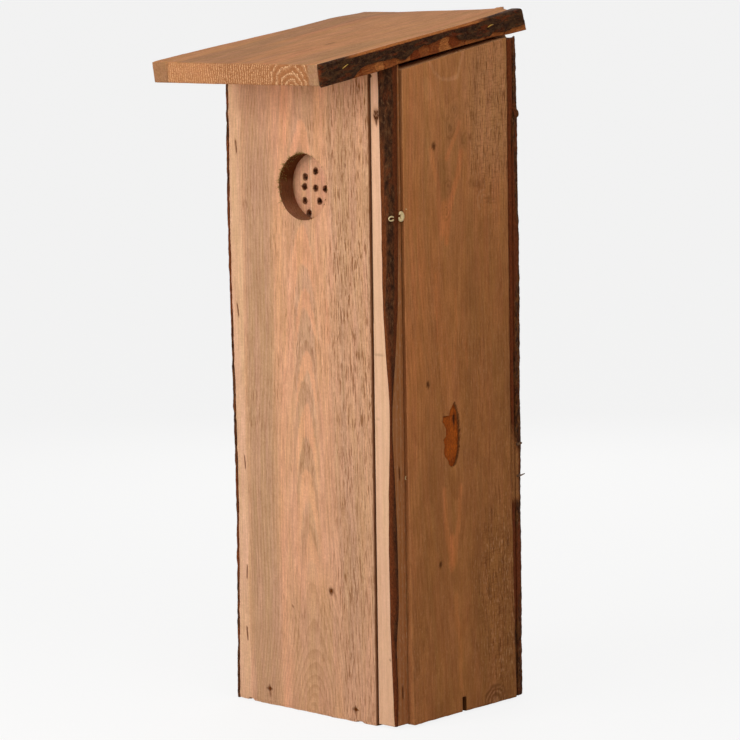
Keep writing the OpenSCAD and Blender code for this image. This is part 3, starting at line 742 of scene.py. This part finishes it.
# Small burls. The grain runs round them in curls, and the wood is darker in their middle.
green, curls = 0, 0
for middle_y, middle_z, half_y, half_z in (
        (-7.4, 442, 9, 13), (-2, 455, 6, 9), (-10, 400, 8, 12), (-12, 380, 6, 9), (36, 7, 14, 9),
        (8, 432, 5, 8)):
    away = np.hypot((y - middle_y) / half_y, (z - middle_z) / half_z)
    year += 4 * np.exp(-away**2)
    green = np.maximum(green, 0.6 * np.exp(-away**2))
    curls = np.maximum(curls, 0.3 * ease(np.sin(15 * away + 3 * lumps(p, 5.0)), 0.2, 0.9)
                       * np.exp(-(away / 0.7)**4))
green = np.maximum(green, patches(yz, ((-17, 400), (9, 34), 0.6), ((-10.5, 150), (6, 24), 0.6)))
swirl = np.hypot((y - 34 + 1.5 * lumps(p, 6.0)) / 13, (z - 2) / 13)
arcs = np.abs(swirl - [[0.4], [0.68], [0.92]]).min(0)
marks = np.maximum.reduce([
    face * np.maximum.reduce([
        0.85 * ease(np.abs(deep - 0.1), 0.9, 0.2) * (0.75 + 0.25 * ease(y, -14, -3)),
        knot, curls, 0.45 * ease(arcs, 0.1, 0.03), strokes(
            wavy, (((31, 388), (43, 386)), 1.3, 0.3), (((33, 384.5), (45, 383)), 1.0, 0.25),
            (((15, 400), (25, 397)), 4.0, 0.2), (((30, 150), (33, 130)), 7.0, 0.15))]),
    # Painted shade: the door's rear edge, its front edge by the corner post and the slot's walls
    # are darkened, the edges more towards the top.
    0.5 * (y > ys[-1] - 0.9) * ease(z, 60, 200),
    0.6 * (y < ys[0] + 0.4) * (fx < xs[-1]) * ease(z, 40, 260),
    0.8 * (z < slot_top) * (y > slot_y[0] - 0.1) * (y < slot_y[1] + 0.1)])
streaks = strokes(
    wavy, (((5.4, 424), (2.4, 412), (-0.6, 403), (-5.7, 392), (-8, 385), (-9.6, 376),
            (-12, 358)), 4.0, 0.8), (((4, 446), (1.5, 440), (-4, 432), (-11, 420)), 3.0, 0.6),
    (((-28.7, 427), (-21.5, 401), (-19.8, 378), (-18, 362)), 4.0, 0.5),
    (((-14, 384), (-15, 366)), 8.0, 0.75), (((-25, 335), (-24, 285)), 1.4, 0.6),
    (((-19.5, 172), (-18, 145), (-15.5, 128), (-12.5, 112)), 3.8, 0.6),
    (((-1, 172), (-3, 152), (-6, 135), (-9, 122), (-12.5, 112)), 3.8, 0.6),
    (((-12, 134), (-12, 116)), 7.0, 0.8), (((-9, 90), (-5, 45), (-5, 20)), 3.4, 0.35),
    (((-4, 320), (-2, 300), (-6, 262)), 2.0, 0.4), (((8, 282), (9, 262)), 2.0, 0.5))
# Painted light: the door is paler towards its top, and paler along its front edge, most near the
# top, where that edge meets the light from the front.
light = np.maximum.reduce([
    0.3 * near(yz, (40, 460), (40, 80)) + 0.12 * ease(z, 300, 480),
    (0.1 + 0.3 * ease(z, 420, 450)) * (y < ys[0] + 1.2), face * np.maximum(
        0.4 * ease(swirl, 1.1, 0.9) * ease(arcs, 0.06, 0.12), strokes(
            wavy, (((-29, 491), (-24.5, 484), (-17, 479), (-7.5, 478), (2.3, 479.5), (5.3, 489),
                    (9, 498)), 2.0, 0.5), (((-33, 476), (-29, 468)), 9.0, 0.25),
            (((30, 394), (25, 392), (22.5, 388), (23, 383), (26, 380)), 1.5, 0.5),
            (((31, 390), (27.5, 389), (26.5, 385)), 1.2, 0.5),
            (((-34, 434), (-31, 421)), 4.0, 0.2)))])
# Painted shade: the door turns greyer towards its foot, as the light falls off there. It also
# turns greyer towards its rear.
painted_foot_shade_and_rear_grey = 0.46 * ease(z, 420, 60) + 0.4 * ease(y + z / 20, -10, 60)
dull = np.maximum(green, painted_foot_shade_and_rear_grey + 0.25 * lumps(p, (22, 22, 90)))
torn = 0.15 + 0.2 * ease(lumps(p, (20, 20, 70)), 0, 0.6) + 0.5 * near(yz, (38, 450), (
    38, 90)) + 0.6 * near(yz, (42, 85), (36, 100)) + 0.15 * ease(y, 10, 40)
rosy = 0.3 * ease(lumps(p, (16, 16, 60)), -0.1, 0.5) * ease(z, 30, 200)
fir_door = sawn_fir("rough_sawn_fir_door", "#CA8650", "#9C6236", "#DC864E", "#9C6A3C", "#E0A474",
                    "#6E3E1C", year=2.8, ringed=0.3, scratch=0.45, fleck=0.5, rough=0.9,
                    mottle=0.88)
door = add_piece("side_door_sawn", p, faces, fir_door, rings=year, grain=p[:, [1, 0, 2]],
                 marks=marks, ends=0.9 * (at(fz, zs[0], zs[-1]) & ~face), tint=np.stack([
                     light, np.clip(dull * (1 - streaks), 0, 1), torn,
                     np.maximum(streaks, rosy)], 1))
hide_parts("side_door")
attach(door, "door")


# Bark pocket in the door. A tongue of bark that the tree grew over lies in a hollow of the
# board, split along its length and worn to orange bast by the saw.
zs = spaced([188.9, 236.2], [0.5])
left, right_side = pocket_sides(zs)
t = np.linspace(0, 1, 26)
rows = np.stack(np.broadcast_arrays(0.0, (left[:, None] - 0.2) * (1 - t) + (
    right_side[:, None] + 0.1) * t, zs[:, None]), -1)
rows[..., 0] = door_high[0] - 1.5 + warped(zs)[:, None] + 0.35 * lumps(
    rows, (5, 3, 18)) + 0.25 * lumps(rows, (3, 1.2, 9))
rows[..., 0] -= 0.9 * np.exp(-((t - 0.78) / 0.07)**2) * ease(zs, 198, 226)[:, None]
rows[..., 0] -= 0.7 * np.abs(2 * t - 1)**8
flake = np.exp(-((rows[..., 1] + 5.2) / 1.4)**2) * ease(rows[..., 2], 214, 222) * (
    1 - ease(rows[..., 2], 226, 232))
bast = (1 - flake) * (1 - 0.9 * np.abs(2 * t - 1)**5) * (1 - 0.5 * ease(
    zs, 200, 190)[:, None]) * (0.8 + 0.3 * lumps(rows, (3, 4, 12)))
bottom = rows[:, ::-1].copy()
bottom[..., 0] = door_high[0] - 3.2
bark_in_door = fir_bark("fir_bark_ingrown", inner="#98420E", torn="#D06A20", ridge="#A88478")
pocket = bark_strip("door_bark_pocket", np.concatenate([rows, bottom], 1), np.concatenate(
    [1 - flake, np.ones_like(flake)], 1), bast, bark_in_door, (1, 0, 2))
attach(pocket, "door")


# Roof board. A thick board with its grain from front to back, stapled on the walls' slope. Its
# left edge is the log's bare round edge, and its end grain shows in front.
def on_slope(points):
    """Puts points given across, along and above the roof's underside on the roof's slope."""
    x, along, above = np.moveaxis(points, -1, 0)
    return np.stack([x, front_y + along * np.cos(slope) - above * np.sin(slope), wall_top
                     + along * np.sin(slope) + above * np.cos(slope)], -1)


def sag(x, along):
    """How far the roof's rear has sunk in mm. Near its right corner it has risen."""
    return ease(along, 112, 152) * np.interp(x, [-75, -38, -10, 20, 47, 60, 67, 74], [
        1.9, 1.9, 1.2, 0.5, -0.2, -0.9, -0.9, 0])


roof_x, roof_l, roof_t = (-88.5, 82.5), (-69.3, 152.2), 16.0
xs = spaced([roof_x[0], -70, -60, 57, roof_x[1]], [0.9, 1.3, 1.7, 0.9])
ls = spaced([roof_l[0], -66, 140, roof_l[1]], [0.7, 1.9, 0.9])
hs = through(0, roof_t, 1.0)
flat, faces = weld(box_grids((xs, ls, hs)))
fx, fl, fh = flat.T
front_end, rear, top = at(fl, ls[0]), at(fl, ls[-1]), at(fh, roof_t)
p = sawn(flat, 1)
arris = np.interp(fl, [-69, -63, -45, -20, 9, 38, 68, 100, 118, 152], [
    -88.2, -89.3, -88.4, -86.2, -82.4, -79.2, -75.4, -74.9, -74.7, -74.5])
foot_x = -88.0 + 0.5 * lumps(flat, (9, 14, 9))
round_off = 1 - np.sqrt(1 - 0.999 * ease(fh, -4, 17)**1.6)
p[:, 0] += (foot_x - roof_x[0] + (arris - foot_x) * np.clip(round_off, 0, 1)) * (
    1 - ease(fx, roof_x[0], -62))
splinter = near(fx[:, None], [65.5], 3.6) * ease(fh, 9, 14)
p[:, 2] += splinter * ease(fl, 143, 152) - sag(fx, fl) * fh / roof_t
p[:, 1] += rear * (0.5 * lumps(flat, (14, 14, 5)) + 2.8 * splinter - 1.2 * ease(fx, 70, 76))
x, along, above = p.T
year = growth(np.stack([x, above, along], 1), (54.9 + 4 * np.sin(along / 60 + 1), -1.2), 0.9)
year += front_end * (0.9 * np.maximum(35 - x, 0) + 1.3 * lumps(p, (5, 40, 3.2))
                     + 0.9 * lumps(p, (1.6, 40, 2)))
end = front_end | rear
patch = ease(x + 0.5 * lumps(p, 5.0), 71, 73)
brown_end = 1 - ease(x + 0.3 * lumps(p, 5.0), -73, -72)
wane = ease(x, arris + 1.2, arris - 1.0) * (along > -66) * (above > 1)
streak = near(np.stack([x - 0.055 * along, along], 1), (21.3, 10.7), (1.3, 9)) * top
seam = (np.abs(x + 72.4 - 0.19 * (above - 8)) < 0.8) * 0.5 + (np.abs(x - 71.8) < 0.7) * 0.22
# Painted shade: the roof board's right face along its lower edge, where the bark is off, is
# darkened as the shadow over the door's top.
roof_gap_painted_shade = (x > roof_x[1] - 1) * (above < 3) * (along > roof_l[0] + 60)
fir_roof = sawn_fir("rough_sawn_fir_roof", "#D49868", "#B07A50", "#D49062", "#A27E60",
                    "#E6B48A", "#8A5C3A", mark_and_shade="#5A3C22", year=4.2, ringed=0.14,
                    end_early="#A66E46", end_late="#E0B488")
roof = add_piece(
    "roof_board_sawn", on_slope(p), faces, fir_roof, rings=year, grain=p[:, [0, 2, 1]],
    marks=np.maximum.reduce([0.45 * wane, 0.75 * streak, 0.9 * roof_gap_painted_shade, seam * front_end,
                             0.3 * brown_end * end]),
    ends=end * (1 - 0.85 * patch) * (1 - 0.75 * brown_end) * (0.6 + 0.4 * ease(x, -45, -5)),
    tint=np.stack([
        np.maximum(top * ease(x, 79, 80.5) * 0.9, 0.15 * front_end * patch),
        np.maximum(end * patch, 0.6 * brown_end * end) + top * 0.35 * ease(
            lumps(p, (22, 130, 22)), 0, 0.5),
        0.1 + 0.25 * ease(lumps(p, (20, 90, 20)), 0, 0.6),
        0.5 * ease(lumps(p, (14, 160, 14)), 0.1, 0.6)], 1))
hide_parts("roof_board")
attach(roof, "box")


# Roof's bark. On the board's right edge the outer bark is whole in front, and behind that its
# lower half has come off in flakes, which leaves red and orange inner bark.
def below(along, above):
    """Height in mm above the outer bark's torn lower border, at a distance from the front."""
    return above - np.interp(along, [
        27, 35, 42, 50, 65, 75, 81, 84, 88, 92, 95, 99, 105, 111, 119, 127, 133, 142, 147, 150,
        158, 173, 185, 189, 196, 204, 211, 221], [
            -2, 0.5, 5.3, 6.3, 6.1, 5.5, 5.4, 3.4, 2.6, 3.2, 4.6, 6.6, 7.4, 8.8, 8.6, 9.3, 10,
            10.1, 8.4, 6.1, 4.1, 2.8, 2.4, 4.5, 3.1, 1.7, 3.3, 3.8])


ls = spaced([roof_l[0] + 0.4, roof_l[1] + 2.4], [0.7])
crust_top, crust_foot = 15.8, -0.6
hs = np.linspace(crust_top, crust_foot, 36)
from_front = (ls - roof_l[0])[:, None]
raised = 1.3 * (crust_top - hs) / (crust_top - crust_foot) * ease(from_front, 60, 95)
rows = np.stack(np.broadcast_arrays(
    0.0, ls[:, None], hs + raised * ease(from_front, 210, 190)), -1)
over = below(rows[..., 1] - roof_l[0], rows[..., 2]) + 0.6 * lumps(rows, (4, 4, 4))
crust = ease(over, -0.25, 0.35)
edge = np.minimum(rows[..., 2] - crust_foot, roof_t - rows[..., 2])
ends_off = np.minimum(ls - ls[0], ls[-1] - ls)[:, None]
relief = scales(rows[..., [0, 2, 1]], 1.5)
# Each flake of the torn half has a middle along and above, a reach on both, and an orange tone.
flakes = np.array([
    [-33, 2, 9, 3, 0.35], [-19, 2.5, 8, 3, 0.45], [-6, 3.5, 5, 3, 1.0], [6, 4, 6, 4, 0.45],
    [20, 3, 8, 3.2, 0.75], [33, 3, 5, 4, 0.05], [43, 4, 6, 4, 0.4], [54, 4.5, 6, 4.5, 0.25],
    [66, 2.5, 6, 4, 1.0], [76, 5, 4, 3, 0.1], [84, 1, 6, 2, 0.5], [100, 1, 12, 2, 0.65],
    [122, 1, 10, 2, 0.5], [147, 2, 12, 4, 0.7]])
rough_at = rows[..., 1:] + 1.3 * np.stack([lumps(rows, 3.0), lumps(rows, (4, 4, 2.5))], -1)
apart = np.linalg.norm((rough_at[:, :, None] - flakes[:, :2]) / flakes[:, 2:4], axis=-1)
flake = apart.argmin(-1)
apart.sort(-1)
ragged = ease(apart[..., 1] - apart[..., 0], 0.04, 0.16)
tone = flakes[flake, 4] * (0.2 + 0.8 * ragged) * (0.85 + 0.3 * lumps(rows, (3, 5, 1.5)))
sawn_top = (hs > 14.8) * ease(from_front, 25, 45) * ease(from_front, 190, 165)
rows[..., 0] = roof_x[1] + 0.4 + 0.2 * lumps(rows, (3, 8, 2.5)) + (1 - crust) * (
    0.5 * (flake % 2) - 0.5 * (1 - ragged)) + crust * (1.5 + relief) * ease(
        edge, -0.6, 1.6) * ease(ends_off, -1.5, 2)
rear_end = ease(rows[..., 1], 138, 154)
rows[..., 0] += 1.3 * rear_end
rows[..., 1] += 2.6 * rear_end * (1 - hs / roof_t)
inwards = np.interp(ls, [95, 121, 140, 152], [0.3, 3.3, 6.1, 9.2])[:, None]
cap = np.stack(np.broadcast_arrays(roof_x[1] - inwards * np.linspace(1, 0, 6), 0.0, 0.0), -1)
cap[..., 1], cap[..., 2] = ls[:, None], 16.2 + 0.25 * lumps(cap, (3, 3, 9))
cap[:, 0, 2] = 15.7
seat = rows[:, :6].copy()
seat[..., 0], seat[..., 2] = roof_x[1] - 0.5, np.linspace(1.0, 15.0, 6)
on_cap = np.repeat(0.9 * sawn_top[:, :1], 6, 1)
off = np.maximum(1 - crust, sawn_top)
bast = np.maximum(np.clip(tone, 0, 1) * (1 - crust), 0.9 * sawn_top)
bark_roof = fir_bark("fir_bark_roof_edge", "#563820", "#6E5038", "#331A0C", "#883A14", "#D88848")
roof_crust = bark_strip("roof_edge_bark", np.concatenate([cap, rows, seat], 1), np.concatenate(
    [on_cap, off], 1), np.concatenate([on_cap, bast], 1), bark_roof, (0, 2, 1), on_slope)
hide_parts("roof_bark")
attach(roof_crust, "box")


# Back board. A rough board as high as the roof, with two holes to hang the box by. Its right
# edge is the log's round edge under bark.
def stained(points, *nodes, reach=2.6):
    """1 at the CAD fixings' own corners, falling to 0 at reach mm: steel stains damp wood."""
    steel = np.concatenate([[v.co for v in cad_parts[node].data.vertices] for node in nodes])
    steel = np.unique((steel / MM).round(), axis=0)
    gap = np.linalg.norm(points[:, None] - steel, axis=2).min(1)
    return 1 - ease(gap, 0.35 * reach, reach)


back_low, back_high = box_of("back_board")
back_t, back_top = back_high[1] - back_low[1], eaves(back_low[1])
hangers, hang_r, hang_half = np.array([[0, 430.0], [0, 60.0]]), 3.5, 6.0
plan = np.array([[0, 81.4], [0.35, 81.8], [0.7, 80.9], [1, 75.9]]) * [back_t, 1]
xs = spaced([back_low[0], -6, 6, 70, back_high[0]], [1.9, 1.0, 1.9, 1.0])
zs = spaced([0, 54, 66, 424, 436, back_top], [1.9, 1.0, 2.2, 1.0, 1.9])
ys = through(back_low[1], back_high[1], 1.7)
flat, faces = bored((xs, ys, zs), hangers, hang_r, hang_half)
fx, fy, fz = flat.T
p = sawn(flat, 2)
p[:, 0] += (np.interp(fy - ys[0], *plan.T) - 0.15 - xs[-1]) * ease(fx, 66, 81)
p[:, 2] += lift(flat, back_top, 50, -0.2 - 5 * ease(fx, 64, 72))
xz = p[:, [0, 2]]
x, z = xz.T
swell, knot = knots(xz, (
    (-38, 318, 4.5, 0.75), (22, 205, 6.0, 0.75), (-60, 96, 2.5, 0.75), (48, 392, 2.5, 0.75)),
    wobble=0.8 * lumps(p, 3.0)[:, None])
year = growth(p, (-12 + 4 * np.sin(z / 110), back_low[1] - 24 + 0.06 * z), 1.5) + swell
on_hanger = np.hypot(x[:, None] - hangers[:, 0], z[:, None] - hangers[:, 1]).min(1)
marks = np.maximum.reduce([
    0.8 * stained(p, "back_board_staples", "back_floor_nails", "rear_pivot_nail"), knot,
    0.5 * ease(on_hanger + 0.5 * lumps(p, 2.0), 4.6, 3.2)])
fir_back = sawn_fir("rough_sawn_fir_back", "#D2A078", "#A06C44", "#DA9A70", "#B08C68", "#E2B88E",
                    "#7C4E2C", year=3.0, ringed=0.6)
back = add_piece("back_board_sawn", p, faces, fir_back, rings=year, grain=p, marks=marks,
                 ends=0.9 * at(fz, 0, zs[-1]), tint=np.stack([
                     0.7 * ease(x, 58, 64), 0.6 * ease(lumps(p, (26, 26, 120)), 0, 0.6),
                     0.25 + 0.6 * ease(lumps(p, (20, 20, 70)) + x / 90, 0, 0.8),
                     0.5 * ease(lumps(p, (16, 16, 90)), 0, 0.5)], 1))
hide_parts("back_board")
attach(back, "box")


# Back board's bark. It lies round the live edge, worn smooth in streaks, and a patch of bare
# wood shows in the middle of its height.
zs = spaced([-0.5, back_top - 4.2], [0.9])
t = np.linspace(0, 1, 34)
outline = np.array([[-0.02, 81.3], [0.03, 83.2], [0.2, 83.8], [0.35, 84], [0.55, 83.85],
                    [0.7, 83.4], [0.88, 81.6], [1, 79.0], [1.0, 76.2]]) * [back_t, 1]
arc = np.append(0, np.cumsum(np.hypot(*np.diff(outline, axis=0).T)))
arc_y, arc_x = (np.interp(t, arc / arc[-1], outline[:, k]) for k in (0, 1))
rows = np.stack(np.broadcast_arrays(arc_x, back_low[1] + arc_y, zs[:, None]), -1)
rough_z = rows[..., 2] + 3 * lumps(rows, (6, 6, 12))
gone = ease(rough_z, 146, 156) * ease(rough_z + 40 * (t - 0.3), 206, 190) * (
    1 - ease(t + 0.05 * lumps(rows, (6, 6, 20)), 0.42, 0.55))
worn = ease(lumps(rows, (5, 5, 60)), 0.15, 0.5) * (1 - gone)
relief = scales(rows, 1.0, 1.6) + 0.5 * lumps(rows, (9, 9, 45))
facing = np.stack([np.cos(np.pi * (t - 0.5) * 0.9), np.sin(np.pi * (t - 0.5) * 0.9)], 1)
inset = np.interp(zs, [0, 40, 140, 230, 300, 400, 440, 470, 520], [
    1.2, 1.2, 0.9, 0.6, 0.3, 0.5, 0.6, 1.3, 1.9])[:, None]
push = (relief * (1 - 0.6 * worn) - 0.4 - inset) * (1 - gone) - 1.3 * gone
push += 2.4 * near(rows[..., 1:], (back_low[1] + 8, 449), (5, 5))
from_front = rows[..., 1] - back_low[1]
strip_wide = 2.6 + 1.8 * ease(rows[..., 2], 430, 460)
strip = ease(from_front, strip_wide + 0.4, strip_wide) * ease(rows[..., 2], 190, 230)
push = push * (1 - strip) - 0.2 * strip - 1.6 * near(
    (from_front - strip_wide)[..., None], [0.7], 1.0)
push *= 1 - np.abs(2 * t - 1)**8
rows[..., :2] += facing * push[..., None]
seat = np.stack([[77.5] + [79.5] * 5, back_low[1] + back_t * np.linspace(0.88, 0.02, 6)], 1)
seat = stacked(np.broadcast_to(seat, (len(zs), 6, 2)), zs)
rows = np.concatenate([rows, seat], 1)
rows[..., 2] += lift(rows, back_top)
bark_back = fir_bark("fir_bark_back_edge", "#74441E", "#8A6444", "#3A1C0C", "#823E1C", "#B87C48")
back_crust = bark_strip("back_edge_bark", rows, np.maximum.reduce([worn * 0.85, gone, strip]),
                        gone, bark_back)
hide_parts("back_board_bark")
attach(back_crust, "box")


# Left side board and floor board. Plain sawn boards between the front and the back. The side
# board's grain is upright, and the floor's runs from front to back.
fir_inside = sawn_fir("rough_sawn_fir_inside", "#D4A27A", "#A67048", "#DA9C74", "#B4926E",
                      "#E2B890", "#805430", year=3.2, ringed=0.5)
for node, name, slot, order in (
        ("left_side_board", "left_side_sawn", "side_wood", [1, 0, 2]),
        ("floor_board", "floor_sawn", "floor_wood", [0, 2, 1])):
    low, high = box_of(node)
    along = order[2]
    if along == 2:
        high[2] = eaves(low[1])
    flat, faces = weld(box_grids([through(a, b, 1.9) for a, b in zip(low, high)]))
    p = sawn(flat, along)
    if along == 2:
        p[:, 2] += lift(flat, high[2])
    g = p[:, order]
    middle = (low + high)[order] / 2
    swell, knot = knots(
        g[:, [0, 2]], ((-22, 372, 5.0, 0.75), (31, 236, 3.0, 0.75), (-6, 84, 6.5, 0.75)),
        wobble=0.8 * lumps(p, 3.0)[:, None])
    year = growth(g, (middle[0] + 9, middle[1] + 22 + 0.07 * g[:, 2]), 1.5) + swell
    piece = add_piece(name, p, faces, fir_inside, grain=g, rings=year,
                      marks=np.maximum(0.8 * stained(p, "side_floor_nails"), knot),
                      ends=0.9 * at(flat[:, along], low[along], high[along]), tint=np.stack([
                          0 * year, 0.5 * ease(lumps(p, (26, 26, 120)), 0, 0.6),
                          0.3 + 0.5 * ease(lumps(p, (20, 20, 70)), -0.2, 0.6),
                          0.4 * ease(lumps(p, (16, 16, 90)), 0, 0.5)], 1))
    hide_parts(node)
    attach(piece, "box")


# Peck-out panel. A soft pinkish board is stapled behind the entrance. Nine starter holes give
# the bird a hold, and their rims are torn.
def rods(paths, radii, sides=5):
    """Thin rods along paths of points in mm, as closed tubes. A radius may change on the way."""
    grids = []
    for path, radius in zip(paths, radii):
        d = np.gradient(path, axis=0)
        d /= np.linalg.norm(d, axis=1)[:, None]
        u = np.cross(d, (0.31, 0.17, 0.94))
        u /= np.linalg.norm(u, axis=1)[:, None]
        a = 2 * np.pi * np.arange(sides)[:, None] / sides
        ring = np.cos(a) * u[:, None] + np.sin(a) * np.cross(d, u)[:, None]
        grids.append(closed(path[:, None] + ring * np.broadcast_to(radius, len(path))[
            :, None, None]))
    return grids


def plain(name, colour, roughness):
    """A matt material of one colour, for pieces too small to show any pattern."""
    material, tree = new_material(name)
    skin = add_node(tree, "ShaderNodeBsdfPrincipled", {"Base Color": colour,
                    "Roughness": roughness})
    add_node(tree, "ShaderNodeOutputMaterial", {"Surface": skin})
    return material


def along_rim(centre, radius, turns, y, length, spread, outwards=0.55):
    """Paths of three points: fibres that start on a round rim at turns in radians and bend
    forwards, and away from the hole's middle or towards it."""
    n = len(turns)
    out = np.stack([np.cos(turns), np.zeros(n), np.sin(turns)], 1)
    start = np.insert(np.array(centre, float), 1, 0) + radius * out + y[:, None] * [0, 1, 0]
    tip = (outwards * out - [0, 0.6, 0] + spread * (rng.random((n, 3)) - 0.5)) * length[:, None]
    bend = (rng.random((n, 3)) - 0.5) * 0.3 * length[:, None]
    return np.stack([start, start + 0.55 * tip + bend, start + tip], 1)


rng = np.random.default_rng(5)
panel_low, panel_high = box_of("peck_panel")
peck_mid = np.array([(panel_low[0] + panel_high[0]) / 2, hole[1] - 2])
peck_turn = np.radians([0, 89, 142, 177, 221, 249, 292, 0, 32])
peck_away = 11.5 * np.array([0, 1.1, 1.15, 1, 1.3, 1.76, 0.9, 0.9, 1.55])
pecks = peck_mid + peck_away[:, None] * np.stack([np.cos(peck_turn), np.sin(peck_turn)], 1)
pecks = pecks.round(2)
peck_r, peck_half = 2.5, 3.55
xs, zs = (np.unique(np.round(np.concatenate([
    spaced([panel_low[k], panel_high[k]], [1.9]), pecks[:, m] - peck_half,
    pecks[:, m] + peck_half]), 3)) for k, m in ((0, 0), (2, 1)))
ys = spaced([panel_low[1], panel_high[1]], [2.2])
flat, faces = bored((xs, ys, zs), pecks, peck_r, peck_half)
p = sawn(flat, 2, wear=0.2)
from_peck = np.linalg.norm(flat[:, None, [0, 2]] - pecks, axis=2).min(1)
ragged = from_peck + 0.7 * lumps(flat, 1.5)
marks = np.maximum(0.8 * ease(ragged, 3.3, 2.4), 0.5 * (from_peck < peck_r + 0.1))
x = p[:, 0]
stripe = 1 - ease(np.abs(x - peck_mid[0] + 4.8 + 0.4 * lumps(p, (9, 9, 14))), 0.3, 1.4)
fir_panel = sawn_fir("soft_fir_panel", "#E6B08A", "#B88460", "#E8A888", "#B89478", "#F2D0B0",
                     "#8A5A3C", mark_and_shade="#5A2A12", year=3.6, ringed=0.3)
panel = add_piece("peck_panel_bored", p, faces, fir_panel, rings=growth(p, (-3, -90), 1.2),
                  grain=p, marks=marks, ends=0 * x, tint=np.stack([
                      0.5 * stripe, 0 * x, 0.2 + 0 * x, 0.4 * ease(lumps(p, 9.0), 0, 0.6)], 1))
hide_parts("peck_panel")
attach(panel, "box")

burrs = np.concatenate([
    along_rim(peck, peck_r + 0.1, rng.random(26) * 2 * np.pi, panel_low[1] + 0.2
              + 1.5 * rng.random(26), 0.8 + 1.5 * rng.random(26), 1.2, -0.5) for peck in pecks])
p, faces = weld(rods(burrs, [(0.26, 0.2, 0.05)] * len(burrs)))
burr = add_piece("peck_panel_burrs", p, faces, plain("torn_fir_panel_fibre", "#9A5C34", 0.9))
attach(burr, "box")


# Entrance's torn fibres. The drill has left a fringe of olive brown fibres on the upper left
# rim and inside the bore.
turns = np.radians(np.concatenate([88 + 112 * rng.random(150), 360 * rng.random(50)]))
fringe = along_rim(hole, hole_r - 0.1, turns, front_y + 0.3 + 2.5 * rng.random(200)**2,
                   0.8 + 2.6 * rng.random(200)**2, 1.1)
lining = along_rim(hole, hole_r - 0.1, np.radians(95 + 80 * rng.random(90)), front_y + 1
                   + 8 * rng.random(90), 0.6 + 1.4 * rng.random(90), 1.4, -0.1)
fringe = np.concatenate([fringe, lining])
p, faces = weld(rods(fringe, [(0.2, 0.16, 0.04)] * len(fringe)))
fibres = add_piece("entrance_fibres", p, faces, plain("torn_fir_fibre", "#9A8040", 0.9))
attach(fibres, "box")


# Fixings. Narrow crown staples and wire nails of zinc-plated steel, dulled by dirt. The driver
# has set most of them below the face of the soft wood.
zinc, tree = new_material("zinc_plated_steel")
place = add_node(tree, "ShaderNodeTexCoord").outputs["Object"]
dirt = add_node(tree, "ShaderNodeTexNoise", {"Vector": place, "Scale": 0.5 / MM, "Detail": 2.0})
skin = add_node(tree, "ShaderNodeBsdfPrincipled", {
    "Base Color": layered(tree, "#8C8A86", ("#4E4640", dirt)), "Metallic": 1.0,
    "Roughness": 0.5})
add_node(tree, "ShaderNodeOutputMaterial", {"Surface": skin})
down = np.array([0, np.sin(slope), -np.cos(slope)])
for node, driven in (
        ("front_board_staples", (0, 1.3, 0)), ("front_floor_nails", (0, 1.3, 0)),
        ("front_pivot_nail", (0, 1.8, 0)), ("corner_post_staples", (-1.0, 0, 0)),
        ("rear_pivot_nail", (0, -0.3, 0)), ("back_board_staples", (0, -0.3, 0)),
        ("back_floor_nails", (0, -0.3, 0)), ("side_floor_nails", (0.3, 0, 0)),
        ("roof_staples", down * 0.5), ("peck_panel_staples", (0, -0.2, 0))):
    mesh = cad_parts[node].data.copy()
    spots = np.array([v.co for v in mesh.vertices]) / MM + np.array(driven)
    if node == "roof_staples":
        spots += sag(spots[:, 0], spots[:, 1] - front_y)[:, None] * down
    mesh.vertices.foreach_set("co", (spots * MM).ravel())
    mesh.materials.clear()
    mesh.materials.append(zinc)
    fixing = bpy.data.objects.new(node + "_driven", mesh)
    bpy.context.scene.collection.objects.link(fixing)
    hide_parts(node)
    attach(fixing, "box")


# Small things: two drops and two flecks of dried resin near the door's front edge, two dry
# needles at the roof's edge, and the stubs of two twigs at the back.
def arc_of(centre, wide, high, start, end, n=22):
    """Points on an ellipse in the plane across x, from one angle in degrees to another."""
    a = np.radians(np.linspace(start, end, n))
    return np.array(centre) + np.stack([0 * a, wide / 2 * np.cos(a), high / 2 * np.sin(a)], 1)


t = np.linspace(0, 1, 22)
drops = rods([arc_of((82.3, -70.8, 379.3), 5.6, 3.0, 35, 325),
              arc_of((82.6, -61.0, 380.3), 3.4, 5.4, -170, 150),
              arc_of((84.2, -57.2, 385.0), 1.6, 1.0, 0, 90),
              arc_of((82.0, -58.6, 186.4), 2.2, 2.4, 0, 320)],
             [0.5 + 0.12 * np.sin(9 * t), 0.5 + 1.1 * np.sin(np.pi * t)**0.8, 0.3, 0.28], 8)
needles = rods(on_slope(np.array([
    [[86.2, 21.6, 9.2], [86.6, 24.4, 10.4], [86.3, 27.6, 11.2]],
    [[86.3, 181.7, 9.6], [86.8, 184.3, 10.5], [86.6, 187.5, 10.6]]]) + [0, roof_l[0], 0]),
    [(0.3, 0.36, 0.22)] * 2)
stubs = rods(np.array([[[82.5, 66, 171.5], [84.8, 69, 172], [86.4, 71.5, 173.2]],
                       [[82.8, 66.0, 196], [84.6, 68.5, 196.8], [85.4, 69.6, 197.2]]]),
             [(0.8, 0.6, 0.35), (1.3, 1.1, 0.6)], 7)
for name, grids, finish, slot in (
        ("resin_drops", drops, plain("dried_resin", "#D9C08C", 0.45), "bark"),
        ("dry_needles", needles, plain("dry_needle", "#D2A440", 0.6), "roof_bark"),
        ("twig_stub", stubs, plain("dead_twig", "#6A482C", 0.85), "bark")):
    p, faces = weld(grids)
    small = add_piece(name, p, faces, finish)
    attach(small, "box")
